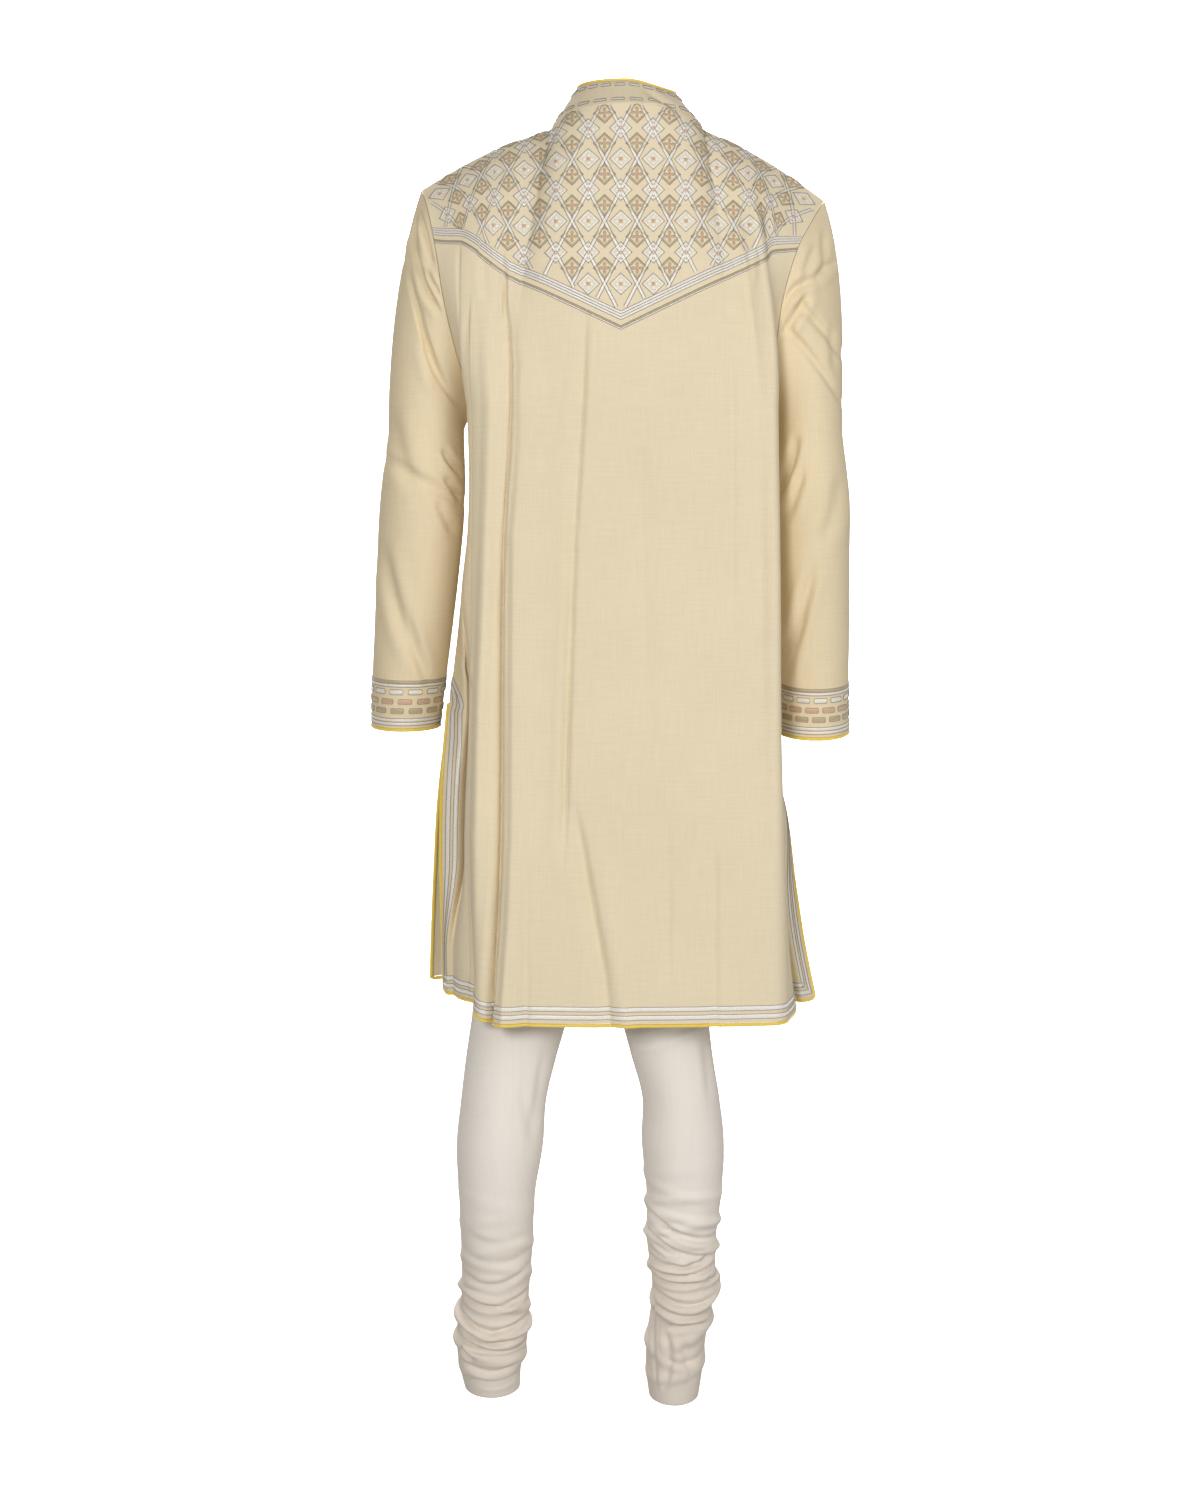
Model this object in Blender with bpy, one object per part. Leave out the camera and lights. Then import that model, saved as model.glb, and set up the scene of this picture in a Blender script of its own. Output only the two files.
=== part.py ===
"""Kurta set: a long straight kurta with a band collar and side slits, over gathered churidar trousers.

The clothes keep the hollow form that they have when worn. The origin is the middle of the neck
opening, at the height of the collar's seam at the back of the neck. The front of the kurta faces -Y,
the wearer's left is +X and up is +Z. Every height is given as a drop below the origin.
"""

import math
from collections import namedtuple

import bmesh
import bpy
import numpy as np

# Cloth and seams, in metres
CLOTH = 0.0016
COLLAR_CLOTH = 0.0022
SEAM = 0.0003
SHOULDER_SEAM = 0.0008
PIPING_RADIUS = 0.0016
PIPING_SIDES = 2
# Added to the seam's gap where two faceted curves, or a piping and a cloth, face each other
FACET_ALLOWANCE = 0.0002
PIPING_ALLOWANCE = 0.0003
# How far inside its edge a cloth's direction is read, as a share of its width or length
NEAR_EDGE = 0.01
# The middle of the arms, mirrored for the right one, and half the way round the chest
ARM_X = 0.225
ARM_Y = -0.01
HALF_GIRTH = 0.24

# Kurta
CHEST_DROP = 0.335
SLIT_DROP = 0.675
SLIT_OPENS_OVER = 0.02
SLIT_WIDTH = 0.012
NECK_X = -0.005
NECK_HALF_WIDTH = 0.085
NECK_BACK = 0.075
NECK_FRONT = 0.085
NECK_SIDE_DROP = 0.020
NECK_FRONT_DROP = 0.075
SHOULDER_CURVE = 0.007
COLLAR_HALF_WIDTH = 0.057
COLLAR_BACK = 0.040
COLLAR_FRONT = 0.067
COLLAR_BACK_RISE = 0.030
COLLAR_SIDE_RISE = 0.0246
COLLAR_FRONT_DROP = 0.036
COLLAR_OPENING = 0.010

# Numbers of faces: half a neckline, half a shoulder, the armhole, the skirt of the kurta
NECK_STEPS = 6
SHOULDER_STEPS = 7
ARMHOLE_STEPS = 10
SEAM_ROW = 0.02
SIDE_SEAM_STEPS = 6
SLIT_STEPS = 7
CAP_STEPS = 7
SLEEVE_STEPS = 11
NECK_SHARE = NECK_STEPS / (NECK_STEPS + SHOULDER_STEPS)

# Churidar
WAIST_DROP = 0.470
WAISTBAND_HEIGHT = 0.036
WAISTBAND_CLOTH = 0.003
CROTCH_DROP = 0.815
HIP_X = 0.021
WAIST_HALF_WIDTH = 0.128
WAIST_Y = -0.006
WAIST_HALF_DEPTH = 0.090
WAIST_SHARE = 0.4
LEG_ROUND = 16
HIP_STEPS = 6
CALF_STEPS = 8
ANKLE_STEPS = 27
CALF_SHARE = 0.56

# One row for each level of a kurta panel: how far its face lies from the origin along Y, then for the
# left and the right half the width to the corner and the corner's radius, and the bow of the face
Girth = namedtuple("Girth", "drop face left_width right_width left_corner right_corner bow")
BACK_GIRTHS = (
    Girth(0.335, 0.112, 0.184, 0.178, 0.050, 0.030, 0.012),
    Girth(0.450, 0.106, 0.177, 0.178, 0.045, 0.022, 0.010),
    Girth(0.600, 0.108, 0.171, 0.178, 0.040, 0.018, 0.008),
    Girth(0.680, 0.112, 0.171, 0.179, 0.036, 0.018, 0.008),
    Girth(0.800, 0.118, 0.171, 0.181, 0.034, 0.018, 0.008),
    Girth(0.950, 0.122, 0.171, 0.184, 0.032, 0.018, 0.008),
    Girth(1.040, 0.124, 0.169, 0.185, 0.030, 0.018, 0.008),
)
FRONT_GIRTHS = (
    Girth(0.335, -0.128, 0.172, 0.170, 0.080, 0.080, 0.020),
    Girth(0.450, -0.130, 0.172, 0.168, 0.075, 0.075, 0.018),
    Girth(0.600, -0.134, 0.184, 0.170, 0.070, 0.070, 0.016),
    Girth(0.680, -0.136, 0.192, 0.174, 0.065, 0.065, 0.014),
    Girth(0.800, -0.140, 0.196, 0.182, 0.060, 0.060, 0.014),
    Girth(0.950, -0.144, 0.200, 0.190, 0.055, 0.055, 0.014),
    Girth(1.040, -0.146, 0.204, 0.196, 0.050, 0.050, 0.014),
)
BACK, FRONT = 1, -1
GIRTHS = {BACK: BACK_GIRTHS, FRONT: FRONT_GIRTHS}

# Where the side seams and, below them, the slits lie
Side = namedtuple("Side", "drop y left right")
SIDES = (
    Side(0.335, -0.005, 0.168, 0.164),
    Side(0.400, -0.005, 0.170, 0.162),
    Side(0.466, -0.005, 0.176, 0.162),
    Side(0.520, -0.005, 0.183, 0.162),
    Side(0.600, -0.006, 0.191, 0.163),
    Side(0.675, -0.010, 0.200, 0.165),
    Side(0.740, -0.016, 0.205, 0.174),
    Side(0.800, -0.022, 0.208, 0.190),
    Side(0.890, -0.030, 0.209, 0.2015),
    Side(0.950, -0.036, 0.209, 0.2105),
    Side(1.040, -0.045, 0.208, 0.229),
)
# How far each panel's slit edge has moved off that line at the hem, along X on each side and along Y
Spread = namedtuple("Spread", "left right y")
SPREADS = {BACK: Spread(0.000, 0.000, 0.010), FRONT: Spread(0.018, -0.002, -0.012)}

# How far each panel's hem drops at its middle, and at its left (1) and right (-1) corners. The left
# side has ridden up beyond the deep fold.
HEM_DROPS = {BACK: 1.027, FRONT: 1.023}
CORNER_DROPS = {1: 1.013, -1: 1.025}
LEFT_RISE_FROM = 0.50
LEFT_RISE_OVER = 0.20

# The armhole from the shoulder's tip to the underarm: x, the back and front edges along Y, the drop
Armhole = namedtuple("Armhole", "share x back front drop")
ARMHOLES = {
    1: (
        Armhole(0.0, 0.2290, 0.000, 0.000, 0.089),
        Armhole(0.2, 0.220, 0.028, -0.028, 0.114),
        Armhole(0.4, 0.210, 0.050, -0.050, 0.160),
        Armhole(0.6, 0.201, 0.060, -0.062, 0.215),
        Armhole(0.8, 0.186, 0.048, -0.054, 0.280),
        Armhole(1.0, 0.168, -0.005, -0.005, 0.335),
    ),
    -1: (
        Armhole(0.0, -0.2305, 0.000, 0.000, 0.101),
        Armhole(0.2, -0.213, 0.030, -0.030, 0.128),
        Armhole(0.4, -0.196, 0.052, -0.052, 0.160),
        Armhole(0.6, -0.180, 0.058, -0.062, 0.215),
        Armhole(0.8, -0.171, 0.046, -0.054, 0.280),
        Armhole(1.0, -0.164, -0.005, -0.005, 0.335),
    ),
}

# The rings of a sleeve from the underarm to the wrist: middle, half widths, and the slope of the ring
Ring = namedtuple("Ring", "drop x y half_x half_y slope")
SLEEVES = {
    1: (
        Ring(0.365, 0.2255, -0.004, 0.0435, 0.055, 0.00),
        Ring(0.440, 0.2300, -0.006, 0.0490, 0.058, -0.02),
        Ring(0.520, 0.2360, -0.010, 0.0480, 0.054, -0.04),
        Ring(0.600, 0.2430, -0.016, 0.0450, 0.050, -0.05),
        Ring(0.660, 0.2487, -0.021, 0.0427, 0.048, -0.05),
        Ring(0.703, 0.2522, -0.026, 0.0405, 0.047, -0.04),
    ),
    -1: (
        Ring(0.365, -0.2150, -0.004, 0.0385, 0.055, 0.00),
        Ring(0.440, -0.2180, -0.006, 0.0445, 0.058, -0.02),
        Ring(0.520, -0.2200, -0.010, 0.0435, 0.054, -0.05),
        Ring(0.600, -0.2225, -0.016, 0.0420, 0.050, -0.08),
        Ring(0.660, -0.2232, -0.021, 0.0412, 0.048, -0.10),
        Ring(0.710, -0.2242, -0.026, 0.0417, 0.047, -0.11),
    ),
}

# The rings of a trouser leg from the thigh to the ankle
LEGS = {
    1: (
        Ring(0.880, 0.1020, -0.004, 0.0660, 0.080, 0.00),
        Ring(0.950, 0.1100, -0.002, 0.0590, 0.070, 0.00),
        Ring(1.047, 0.1195, 0.000, 0.0562, 0.060, 0.00),
        Ring(1.094, 0.1295, 0.000, 0.0531, 0.057, 0.00),
        Ring(1.145, 0.1385, 0.002, 0.0502, 0.057, 0.00),
        Ring(1.195, 0.1428, 0.002, 0.0510, 0.057, 0.00),
        Ring(1.260, 0.1468, -0.002, 0.0448, 0.052, 0.00),
        Ring(1.321, 0.1472, -0.008, 0.0424, 0.047, 0.00),
        Ring(1.380, 0.1495, -0.014, 0.0400, 0.045, -0.03),
        Ring(1.446, 0.1545, -0.020, 0.0415, 0.043, -0.05),
        Ring(1.474, 0.1560, -0.022, 0.0365, 0.040, -0.06),
        Ring(1.497, 0.1538, -0.024, 0.0332, 0.038, -0.08),
    ),
    -1: (
        Ring(0.880, -0.0470, -0.004, 0.0660, 0.080, 0.00),
        Ring(0.950, -0.0490, -0.004, 0.0570, 0.070, 0.00),
        Ring(1.047, -0.0507, -0.008, 0.0515, 0.058, 0.00),
        Ring(1.094, -0.0590, -0.010, 0.0480, 0.056, 0.00),
        Ring(1.145, -0.0697, -0.012, 0.0455, 0.056, 0.00),
        Ring(1.195, -0.0722, -0.014, 0.0486, 0.056, 0.00),
        Ring(1.260, -0.0740, -0.018, 0.0446, 0.052, 0.00),
        Ring(1.321, -0.0712, -0.024, 0.0410, 0.047, 0.00),
        Ring(1.380, -0.0742, -0.030, 0.0372, 0.045, -0.03),
        Ring(1.446, -0.0655, -0.036, 0.0352, 0.041, -0.05),
        Ring(1.482, -0.0634, -0.038, 0.0340, 0.039, -0.06),
        Ring(1.513, -0.0630, -0.040, 0.0300, 0.037, -0.08),
    ),
}

# Long folds of the kurta: their distance from the centre line at the top and at the bottom, + to the
# left, the drops that they run between, half their width, and their height, - for a trough
Fold = namedtuple("Fold", "panel top_at bottom_at top_drop bottom_drop half_width height")
FOLDS = (
    Fold(BACK, 0.130, 0.150, 0.180, 1.200, 0.026, -0.017),
    Fold(BACK, 0.100, 0.118, 0.600, 1.200, 0.030, 0.006),
    Fold(BACK, 0.042, 0.060, 0.300, 0.950, 0.030, -0.006),
    Fold(BACK, -0.168, -0.172, 0.110, 0.420, 0.022, 0.010),
    Fold(FRONT, 0.110, 0.130, 0.300, 1.200, 0.030, -0.014),
    Fold(FRONT, -0.100, -0.125, 0.320, 1.200, 0.030, -0.014),
    Fold(FRONT, 0.030, 0.045, 0.450, 1.200, 0.032, -0.007),
    Fold(FRONT, -0.045, -0.040, 0.560, 1.200, 0.032, -0.006),
)
FOLD_FADE = 0.09

# Creases of the sleeves: where they lie round the sleeve (0 outer, 0.25 back), the drop there, how
# far they fall to either side, their half width, height, and the share of the round that they take
Roll = namedtuple("Roll", "side at drop swing half_width height span")
SLEEVE_ROLLS = (
    Roll(1, 0.22, 0.245, 0.085, 0.016, -0.007, 0.34),
    Roll(1, 0.26, 0.420, 0.025, 0.014, -0.005, 0.36),
    Roll(-1, 0.24, 0.225, -0.050, 0.015, -0.008, 0.36),
    Roll(-1, 0.26, 0.270, -0.060, 0.014, -0.006, 0.34),
)

# Folds of cloth gathered along the lower legs
LEG_ROLLS = (
    Roll(1, 0.30, 1.275, 0.012, 0.011, 0.0035, 0.80),
    Roll(1, 0.15, 1.308, -0.014, 0.011, 0.0040, 0.80),
    Roll(1, 0.35, 1.342, 0.016, 0.012, 0.0050, 0.90),
    Roll(1, 0.05, 1.373, -0.014, 0.012, 0.0055, 0.90),
    Roll(1, 0.05, 1.407, 0.016, 0.013, 0.0075, 0.95),
    Roll(1, 0.40, 1.435, -0.010, 0.011, 0.0060, 0.95),
    Roll(1, 0.10, 1.464, 0.010, 0.009, 0.0040, 0.90),
    Roll(-1, 0.40, 1.240, 0.010, 0.010, 0.0035, 0.85),
    Roll(-1, 0.45, 1.267, 0.012, 0.010, 0.0050, 0.90),
    Roll(-1, 0.15, 1.292, -0.010, 0.010, 0.0045, 0.90),
    Roll(-1, 0.30, 1.318, 0.012, 0.010, 0.0050, 0.90),
    Roll(-1, 0.10, 1.346, -0.014, 0.011, 0.0055, 0.95),
    Roll(-1, 0.02, 1.377, 0.012, 0.012, 0.0080, 0.90),
    Roll(-1, 0.25, 1.410, -0.012, 0.012, 0.0050, 0.90),
    Roll(-1, 0.15, 1.445, 0.014, 0.011, 0.0040, 0.90),
    Roll(-1, 0.35, 1.477, -0.008, 0.010, 0.0030, 0.85),
)

# Hidden closing at the centre front
PLACKET_LENGTH = 0.300
PLACKET_WIDTH = 0.034
PLACKET_CLOTH = 0.0014
PLACKET_STEPS = 12
BUTTON_RADIUS = 0.006
BUTTON_HEIGHT = 0.004
BUTTON_COUNT = 4
BUTTON_FIRST = 0.020
BUTTON_PITCH = 0.075

KURTA_CREAM = (0.78, 0.68, 0.47)
PIPING_YELLOW = (0.87, 0.62, 0.10)
TROUSER_WHITE = (0.80, 0.75, 0.65)


def cloth_material(name, colour, roughness):
    """A plain woven finish."""
    material = bpy.data.materials.new(name)
    material.use_nodes = True
    shader = material.node_tree.nodes["Principled BSDF"]
    shader.inputs["Base Color"].default_value = (*colour, 1.0)
    shader.inputs["Roughness"].default_value = roughness
    shader.inputs["Metallic"].default_value = 0.0
    return material


def column(rows, key, name):
    """A named column of a table, read on a smooth curve through its rows."""
    keys = np.array([row[0] for row in rows])
    values = np.array([getattr(row, name) for row in rows])
    slopes = np.gradient(values, keys)
    key = np.clip(key, keys[0], keys[-1])
    low = np.clip(np.searchsorted(keys, key) - 1, 0, len(keys) - 2)
    span = keys[low + 1] - keys[low]
    t = (key - keys[low]) / span
    start = values[low] * (1 + 2 * t) * (1 - t) ** 2 + slopes[low] * span * t * (1 - t) ** 2
    end = values[low + 1] * t * t * (3 - 2 * t) + slopes[low + 1] * span * t * t * (t - 1)
    return start + end


def ease(x):
    """0 below 0, 1 above 1, smooth between."""
    x = np.clip(x, 0.0, 1.0)
    return x * x * (3 - 2 * x)


def bump(x):
    """A soft ridge of height 1 between -1 and 1."""
    return np.where(np.abs(x) < 1, np.cos(x * math.pi / 2) ** 2, 0.0)


def outline(face, s, drop):
    """A panel's level: x, y, the outward direction there and the distance from the centre line.

    s runs from -1 at the right side seam to 1 at the left one.
    """
    rows = GIRTHS[face]
    left = s > 0

    def half(name):
        return np.where(left, column(rows, drop, "left_" + name), column(rows, drop, "right_" + name))

    opening = SLIT_WIDTH * np.clip((drop - SLIT_DROP) / SLIT_OPENS_OVER, 0, 1)
    spread = np.clip((drop - SLIT_DROP) / (CORNER_DROPS[-1] - SLIT_DROP), 0, None)
    moved = np.where(left, SPREADS[face].left, SPREADS[face].right)
    edge = np.where(left, column(SIDES, drop, "left"), column(SIDES, drop, "right"))
    seam_y = column(SIDES, drop, "y") + face * (SEAM + opening) / 2 + SPREADS[face].y * spread
    width, corner = half("width"), half("corner")
    flare = edge + moved * spread - width
    bow = column(rows, drop, "bow")
    flat = width - corner
    bend = corner * math.pi / 2
    side = np.abs(column(rows, drop, "face") - seam_y) - corner - bow
    far = np.abs(s) * (flat + bend + side)
    angle = np.clip((far - flat) / corner, 0, math.pi / 2)
    fall = bow * (np.minimum(far, flat) / flat) ** 2 + corner * (1 - np.cos(angle))
    fall = fall + np.clip(far - flat - bend, 0, None)
    x = np.minimum(far, flat) + corner * np.sin(angle)
    x = x + flare * ease(fall / (side + corner + bow))
    sign = np.where(left, 1.0, -1.0)
    y = column(rows, drop, "face") - face * fall
    return sign * x, y, sign * np.sin(angle), face * np.cos(angle), sign * far


def top_edge(face, s):
    """The neckline and the shoulder seam."""
    share = np.clip(np.abs(s) / NECK_SHARE, 0, 1)
    turn = share * math.pi / 2
    sign = np.where(s > 0, 1.0, -1.0)
    depth = NECK_BACK if face == BACK else -NECK_FRONT
    end_drop = 0.0 if face == BACK else NECK_FRONT_DROP
    out = np.clip((np.abs(s) - NECK_SHARE) / (1 - NECK_SHARE), 0, 1)
    tip_x = np.where(s > 0, ARMHOLES[1][0].x, ARMHOLES[-1][0].x)
    tip_drop = np.where(s > 0, ARMHOLES[1][0].drop, ARMHOLES[-1][0].drop)
    neck_x = NECK_X + sign * NECK_HALF_WIDTH * np.sin(turn)
    drop = NECK_SIDE_DROP + (end_drop - NECK_SIDE_DROP) * np.cos(turn)
    x = neck_x + (tip_x - neck_x) * out
    y = depth * np.cos(turn) + face * SHOULDER_SEAM / 2 * share
    drop = drop + (tip_drop - NECK_SIDE_DROP) * out - SHOULDER_CURVE * np.sin(out * math.pi)
    return x, y, -drop


def armhole(face, side, share):
    """The edge of a panel at its armhole, from the shoulder's tip to the underarm."""
    rows = ARMHOLES[side]
    x = column(rows, share, "x")
    y = column(rows, share, "back" if face == BACK else "front")
    y = y + face * (SHOULDER_SEAM / 2 * (1 - share) + SEAM / 2 * share)
    return x, y, -column(rows, share, "drop")


def panel(face, s, w):
    """A point of a kurta panel. w is 0 at the neck and shoulders, 1 at the chest and 2 at the hem."""
    v = np.clip(w, 0, 1)
    corner = np.where(s > 0, CORNER_DROPS[1], CORNER_DROPS[-1])
    near = np.where(s > 0, ease((s - LEFT_RISE_FROM) / LEFT_RISE_OVER), s**2)
    hem = HEM_DROPS[face] + (corner - HEM_DROPS[face]) * near
    drop = CHEST_DROP + (hem - CHEST_DROP) * np.clip(w - 1, 0, 1)
    x, y, out_x, out_y, far = outline(face, s, drop)
    z = -drop

    # Above the chest each line of cloth rises over the shoulder in one curve
    top_x, top_y, top_z = top_edge(face, s)
    shoulder = ease(np.abs(s) / NECK_SHARE)
    lead_y = face * (0.010 + 0.058 * shoulder)
    lead_z = -0.055 * (1 - shoulder)
    rise = 0.11
    a, b, c, d = (1 - v) ** 3, 3 * v * (1 - v) ** 2, 3 * v * v * (1 - v), v**3
    over_x = (a + b) * top_x + (c + d) * x
    over_y = a * top_y + b * (top_y + lead_y) + (c + d) * y
    over_z = a * top_z + b * (top_z + lead_z) + c * (z + rise) + d * z

    # The outermost line follows the armhole, and its neighbours ease into it
    for side in (1, -1):
        edge_s = np.full_like(v, float(side))
        at_x, at_y, _, _, _ = outline(face, edge_s, np.full_like(v, CHEST_DROP))
        tip_x, tip_y, tip_z = top_edge(face, edge_s)
        line_x = (a + b) * tip_x + (c + d) * at_x
        line_y = a * tip_y + b * (tip_y + face * 0.068) + (c + d) * at_y
        line_z = (a + b) * tip_z + c * (-CHEST_DROP + rise) - d * CHEST_DROP
        hole_x, hole_y, hole_z = armhole(face, side, v)
        last_x, last_y, last_z = armhole(face, side, np.ones_like(v))
        weight = ease((side * s - 0.45) / 0.55) ** 1.3
        over_x = over_x + weight * (hole_x - line_x + v * (at_x - last_x))
        over_y = over_y + weight * (hole_y - line_y + v * (at_y - last_y))
        over_z = over_z + weight * (hole_z - line_z)
    upper = w < 1
    x, y, z = np.where(upper, over_x, x), np.where(upper, over_y, y), np.where(upper, over_z, z)

    edge = ease((1 - np.abs(s)) / 0.12)
    for fold in FOLDS:
        if fold.panel != face:
            continue
        along = (-z - fold.top_drop) / (fold.bottom_drop - fold.top_drop)
        at = fold.top_at + (fold.bottom_at - fold.top_at) * np.clip(along, 0, 1)
        strength = ease((-z - fold.top_drop) / FOLD_FADE) * ease((fold.bottom_drop + z) / FOLD_FADE)
        lift = fold.height * strength * edge * bump((far - at) / fold.half_width)
        x, y = x + lift * out_x, y + lift * out_y
    return np.stack([x, y, z], axis=-1)


def ring(rows, side, a, drop):
    """A point of a sleeve's or a leg's ring. a is 0 on the outer side, 0.25 at the back."""
    turn = a * 2 * math.pi
    y = column(rows, drop, "half_y") * np.sin(turn)
    x = column(rows, drop, "x") + side * column(rows, drop, "half_x") * np.cos(turn)
    z = -drop + column(rows, drop, "slope") * y
    return np.stack([x, column(rows, drop, "y") + y, z], axis=-1)


def rolls(table, side, a, point, middle_x, middle_y):
    """Creases and gathered folds, raised or sunk from the middle line of a sleeve or a leg."""
    out = np.stack([point[..., 0] - middle_x, point[..., 1] - middle_y], axis=-1)
    out = out / np.linalg.norm(out, axis=-1, keepdims=True)
    lift = np.zeros_like(a)
    for roll in table:
        if roll.side != side:
            continue
        away = (a - roll.at + 0.5) % 1.0 - 0.5
        level = roll.drop + roll.swing * np.sin(away * 2 * math.pi)
        window = 1 - roll.span + roll.span * np.cos(away * math.pi) ** 2
        if roll.span < 0.5:
            window = bump(away / roll.span)
        lift = lift + roll.height * window * bump((-point[..., 2] - level) / roll.half_width)
    point = point.copy()
    point[..., :2] += lift[..., None] * out
    return point


def bridge(start, end, lean, v):
    """A smooth line from a shaped opening to the first level ring, leaving it along lean."""
    reach = np.linalg.norm(end - start, axis=-1, keepdims=True)
    v = v[..., None]
    leave = reach * lean
    arrive = reach * np.array([0.0, 0.0, -1.0])
    first = (1 + 2 * v) * (1 - v) ** 2
    last = v * v * (3 - 2 * v)
    return first * start + v * (1 - v) ** 2 * leave + last * end + v * v * (v - 1) * arrive


def sleeve(side, a, w):
    """A point of a sleeve. w is 0 at the armhole, 1 under the arm and 2 at the wrist."""
    rows = SLEEVES[side]
    back = a <= 0.5
    share = np.where(back, a * 2, (1 - a) * 2)
    hole_back = np.stack(armhole(BACK, side, share), axis=-1)
    hole_front = np.stack(armhole(FRONT, side, share), axis=-1)
    hole = np.where(back[..., None], hole_back, hole_front)
    at_tip = (share == 0)[..., None]
    hole = np.where(at_tip, (hole_back + hole_front) / 2, hole)
    hole = np.where((share == 1)[..., None], (hole_back + hole_front) / 2, hole)
    hole[..., 0] += side * (SEAM + FACET_ALLOWANCE)
    drop = rows[0].drop + (rows[-1].drop - rows[0].drop) * np.clip(w - 1, 0, 1)
    arm = ring(rows, side, a, drop)
    first = ring(rows, side, a, np.full_like(w, rows[0].drop))
    lean = np.array([side * 0.30, 0.0, -0.90])
    cap = bridge(hole, first, lean, np.clip(w, 0, 1))
    point = np.where((w < 1)[..., None], cap, arm)
    middle_x = column(rows, -point[..., 2], "x")
    middle_y = column(rows, -point[..., 2], "y")
    return rolls(SLEEVE_ROLLS, side, a, point, middle_x, middle_y)


def waist_and_rise(side, a):
    """The top edge of a trouser leg: half the waist, then the seam down through the crotch."""
    turn_sign = np.where(a <= 0.5, 1.0, -1.0)
    share = np.where(a <= 0.5, a * 2, (1 - a) * 2)
    round_waist = np.clip(share / WAIST_SHARE, 0, 1) * math.pi / 2
    down = np.clip((share - WAIST_SHARE) / (1 - WAIST_SHARE), 0, 1) * math.pi / 2
    x = HIP_X + side * (SEAM / 2 + WAIST_HALF_WIDTH * np.cos(round_waist))
    reach = np.where(down > 0, np.cos(down) ** 0.8, np.sin(round_waist))
    y = WAIST_Y + turn_sign * WAIST_HALF_DEPTH * reach
    drop = WAIST_DROP + (CROTCH_DROP - WAIST_DROP) * np.sin(down) ** 0.85
    return np.stack([x, y, -drop], axis=-1), down > 0


def leg(side, a, w):
    """A point of a trouser leg. w is 0 at the waist and rise, 1 at the thigh and 2 at the ankle."""
    rows = LEGS[side]
    start, on_rise = waist_and_rise(side, a)
    drop = rows[0].drop + (rows[-1].drop - rows[0].drop) * np.clip(w - 1, 0, 1)
    lower = ring(rows, side, a, drop)
    first = ring(rows, side, a, np.full_like(w, rows[0].drop))
    waist_lean = np.array([side * 0.10, 0.0, -0.85])
    rise_lean = np.array([side * 0.75, 0.0, -0.55])
    lean = np.where(on_rise[..., None], rise_lean, waist_lean)
    hip = bridge(start, first, lean, np.clip(w, 0, 1))
    point = np.where((w < 1)[..., None], hip, lower)
    middle_x = column(rows, -point[..., 2], "x")
    middle_y = column(rows, -point[..., 2], "y")
    return rolls(LEG_ROLLS, side, a, point, middle_x, middle_y)


def collar(turn, rise):
    """A point of the collar. turn is 0 at the back and +-pi at the front, rise 1 at its top edge."""
    back = np.cos(turn) > 0
    level = np.abs(np.cos(turn))
    base_y = np.where(back, NECK_BACK, -NECK_FRONT) * level
    top_y = np.where(back, COLLAR_BACK, -COLLAR_FRONT) * level
    base_drop = NECK_SIDE_DROP + (np.where(back, 0.0, NECK_FRONT_DROP) - NECK_SIDE_DROP) * level
    end_drop = np.where(back, -COLLAR_BACK_RISE, COLLAR_FRONT_DROP)
    top_drop = -COLLAR_SIDE_RISE + (end_drop + COLLAR_SIDE_RISE) * level
    x = NECK_X + np.sin(turn) * (NECK_HALF_WIDTH + (COLLAR_HALF_WIDTH - NECK_HALF_WIDTH) * rise)
    y = base_y + (top_y - base_y) * rise
    return np.stack([x, y, -(base_drop + (top_drop - base_drop) * rise)], axis=-1)


def inset(points, depth, middle_x, middle_y, closed=False):
    """For each point of a cloth's outer face, the step through the cloth to its inner face."""
    if closed:
        ring_points = points[:, :-1]
        across = np.roll(ring_points, -1, axis=1) - np.roll(ring_points, 1, axis=1)
        across = np.concatenate([across, across[:, :1]], axis=1)
    else:
        across = np.gradient(points, axis=1)
    normal = np.cross(np.gradient(points, axis=0), across)
    normal = normal / np.linalg.norm(normal, axis=-1, keepdims=True)
    away = points[..., :2] - np.array([middle_x, middle_y])
    facing = 1.0 if np.sum(normal[..., :2] * away) > 0 else -1.0
    return -normal * facing * depth


def hold_back(steps, direction):
    """Take out of the steps what would carry them across a seam, which lies towards direction."""
    direction = np.array(direction, dtype=float)
    across = np.clip(steps @ direction, 0, None)
    return steps - across[..., None] * direction


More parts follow.
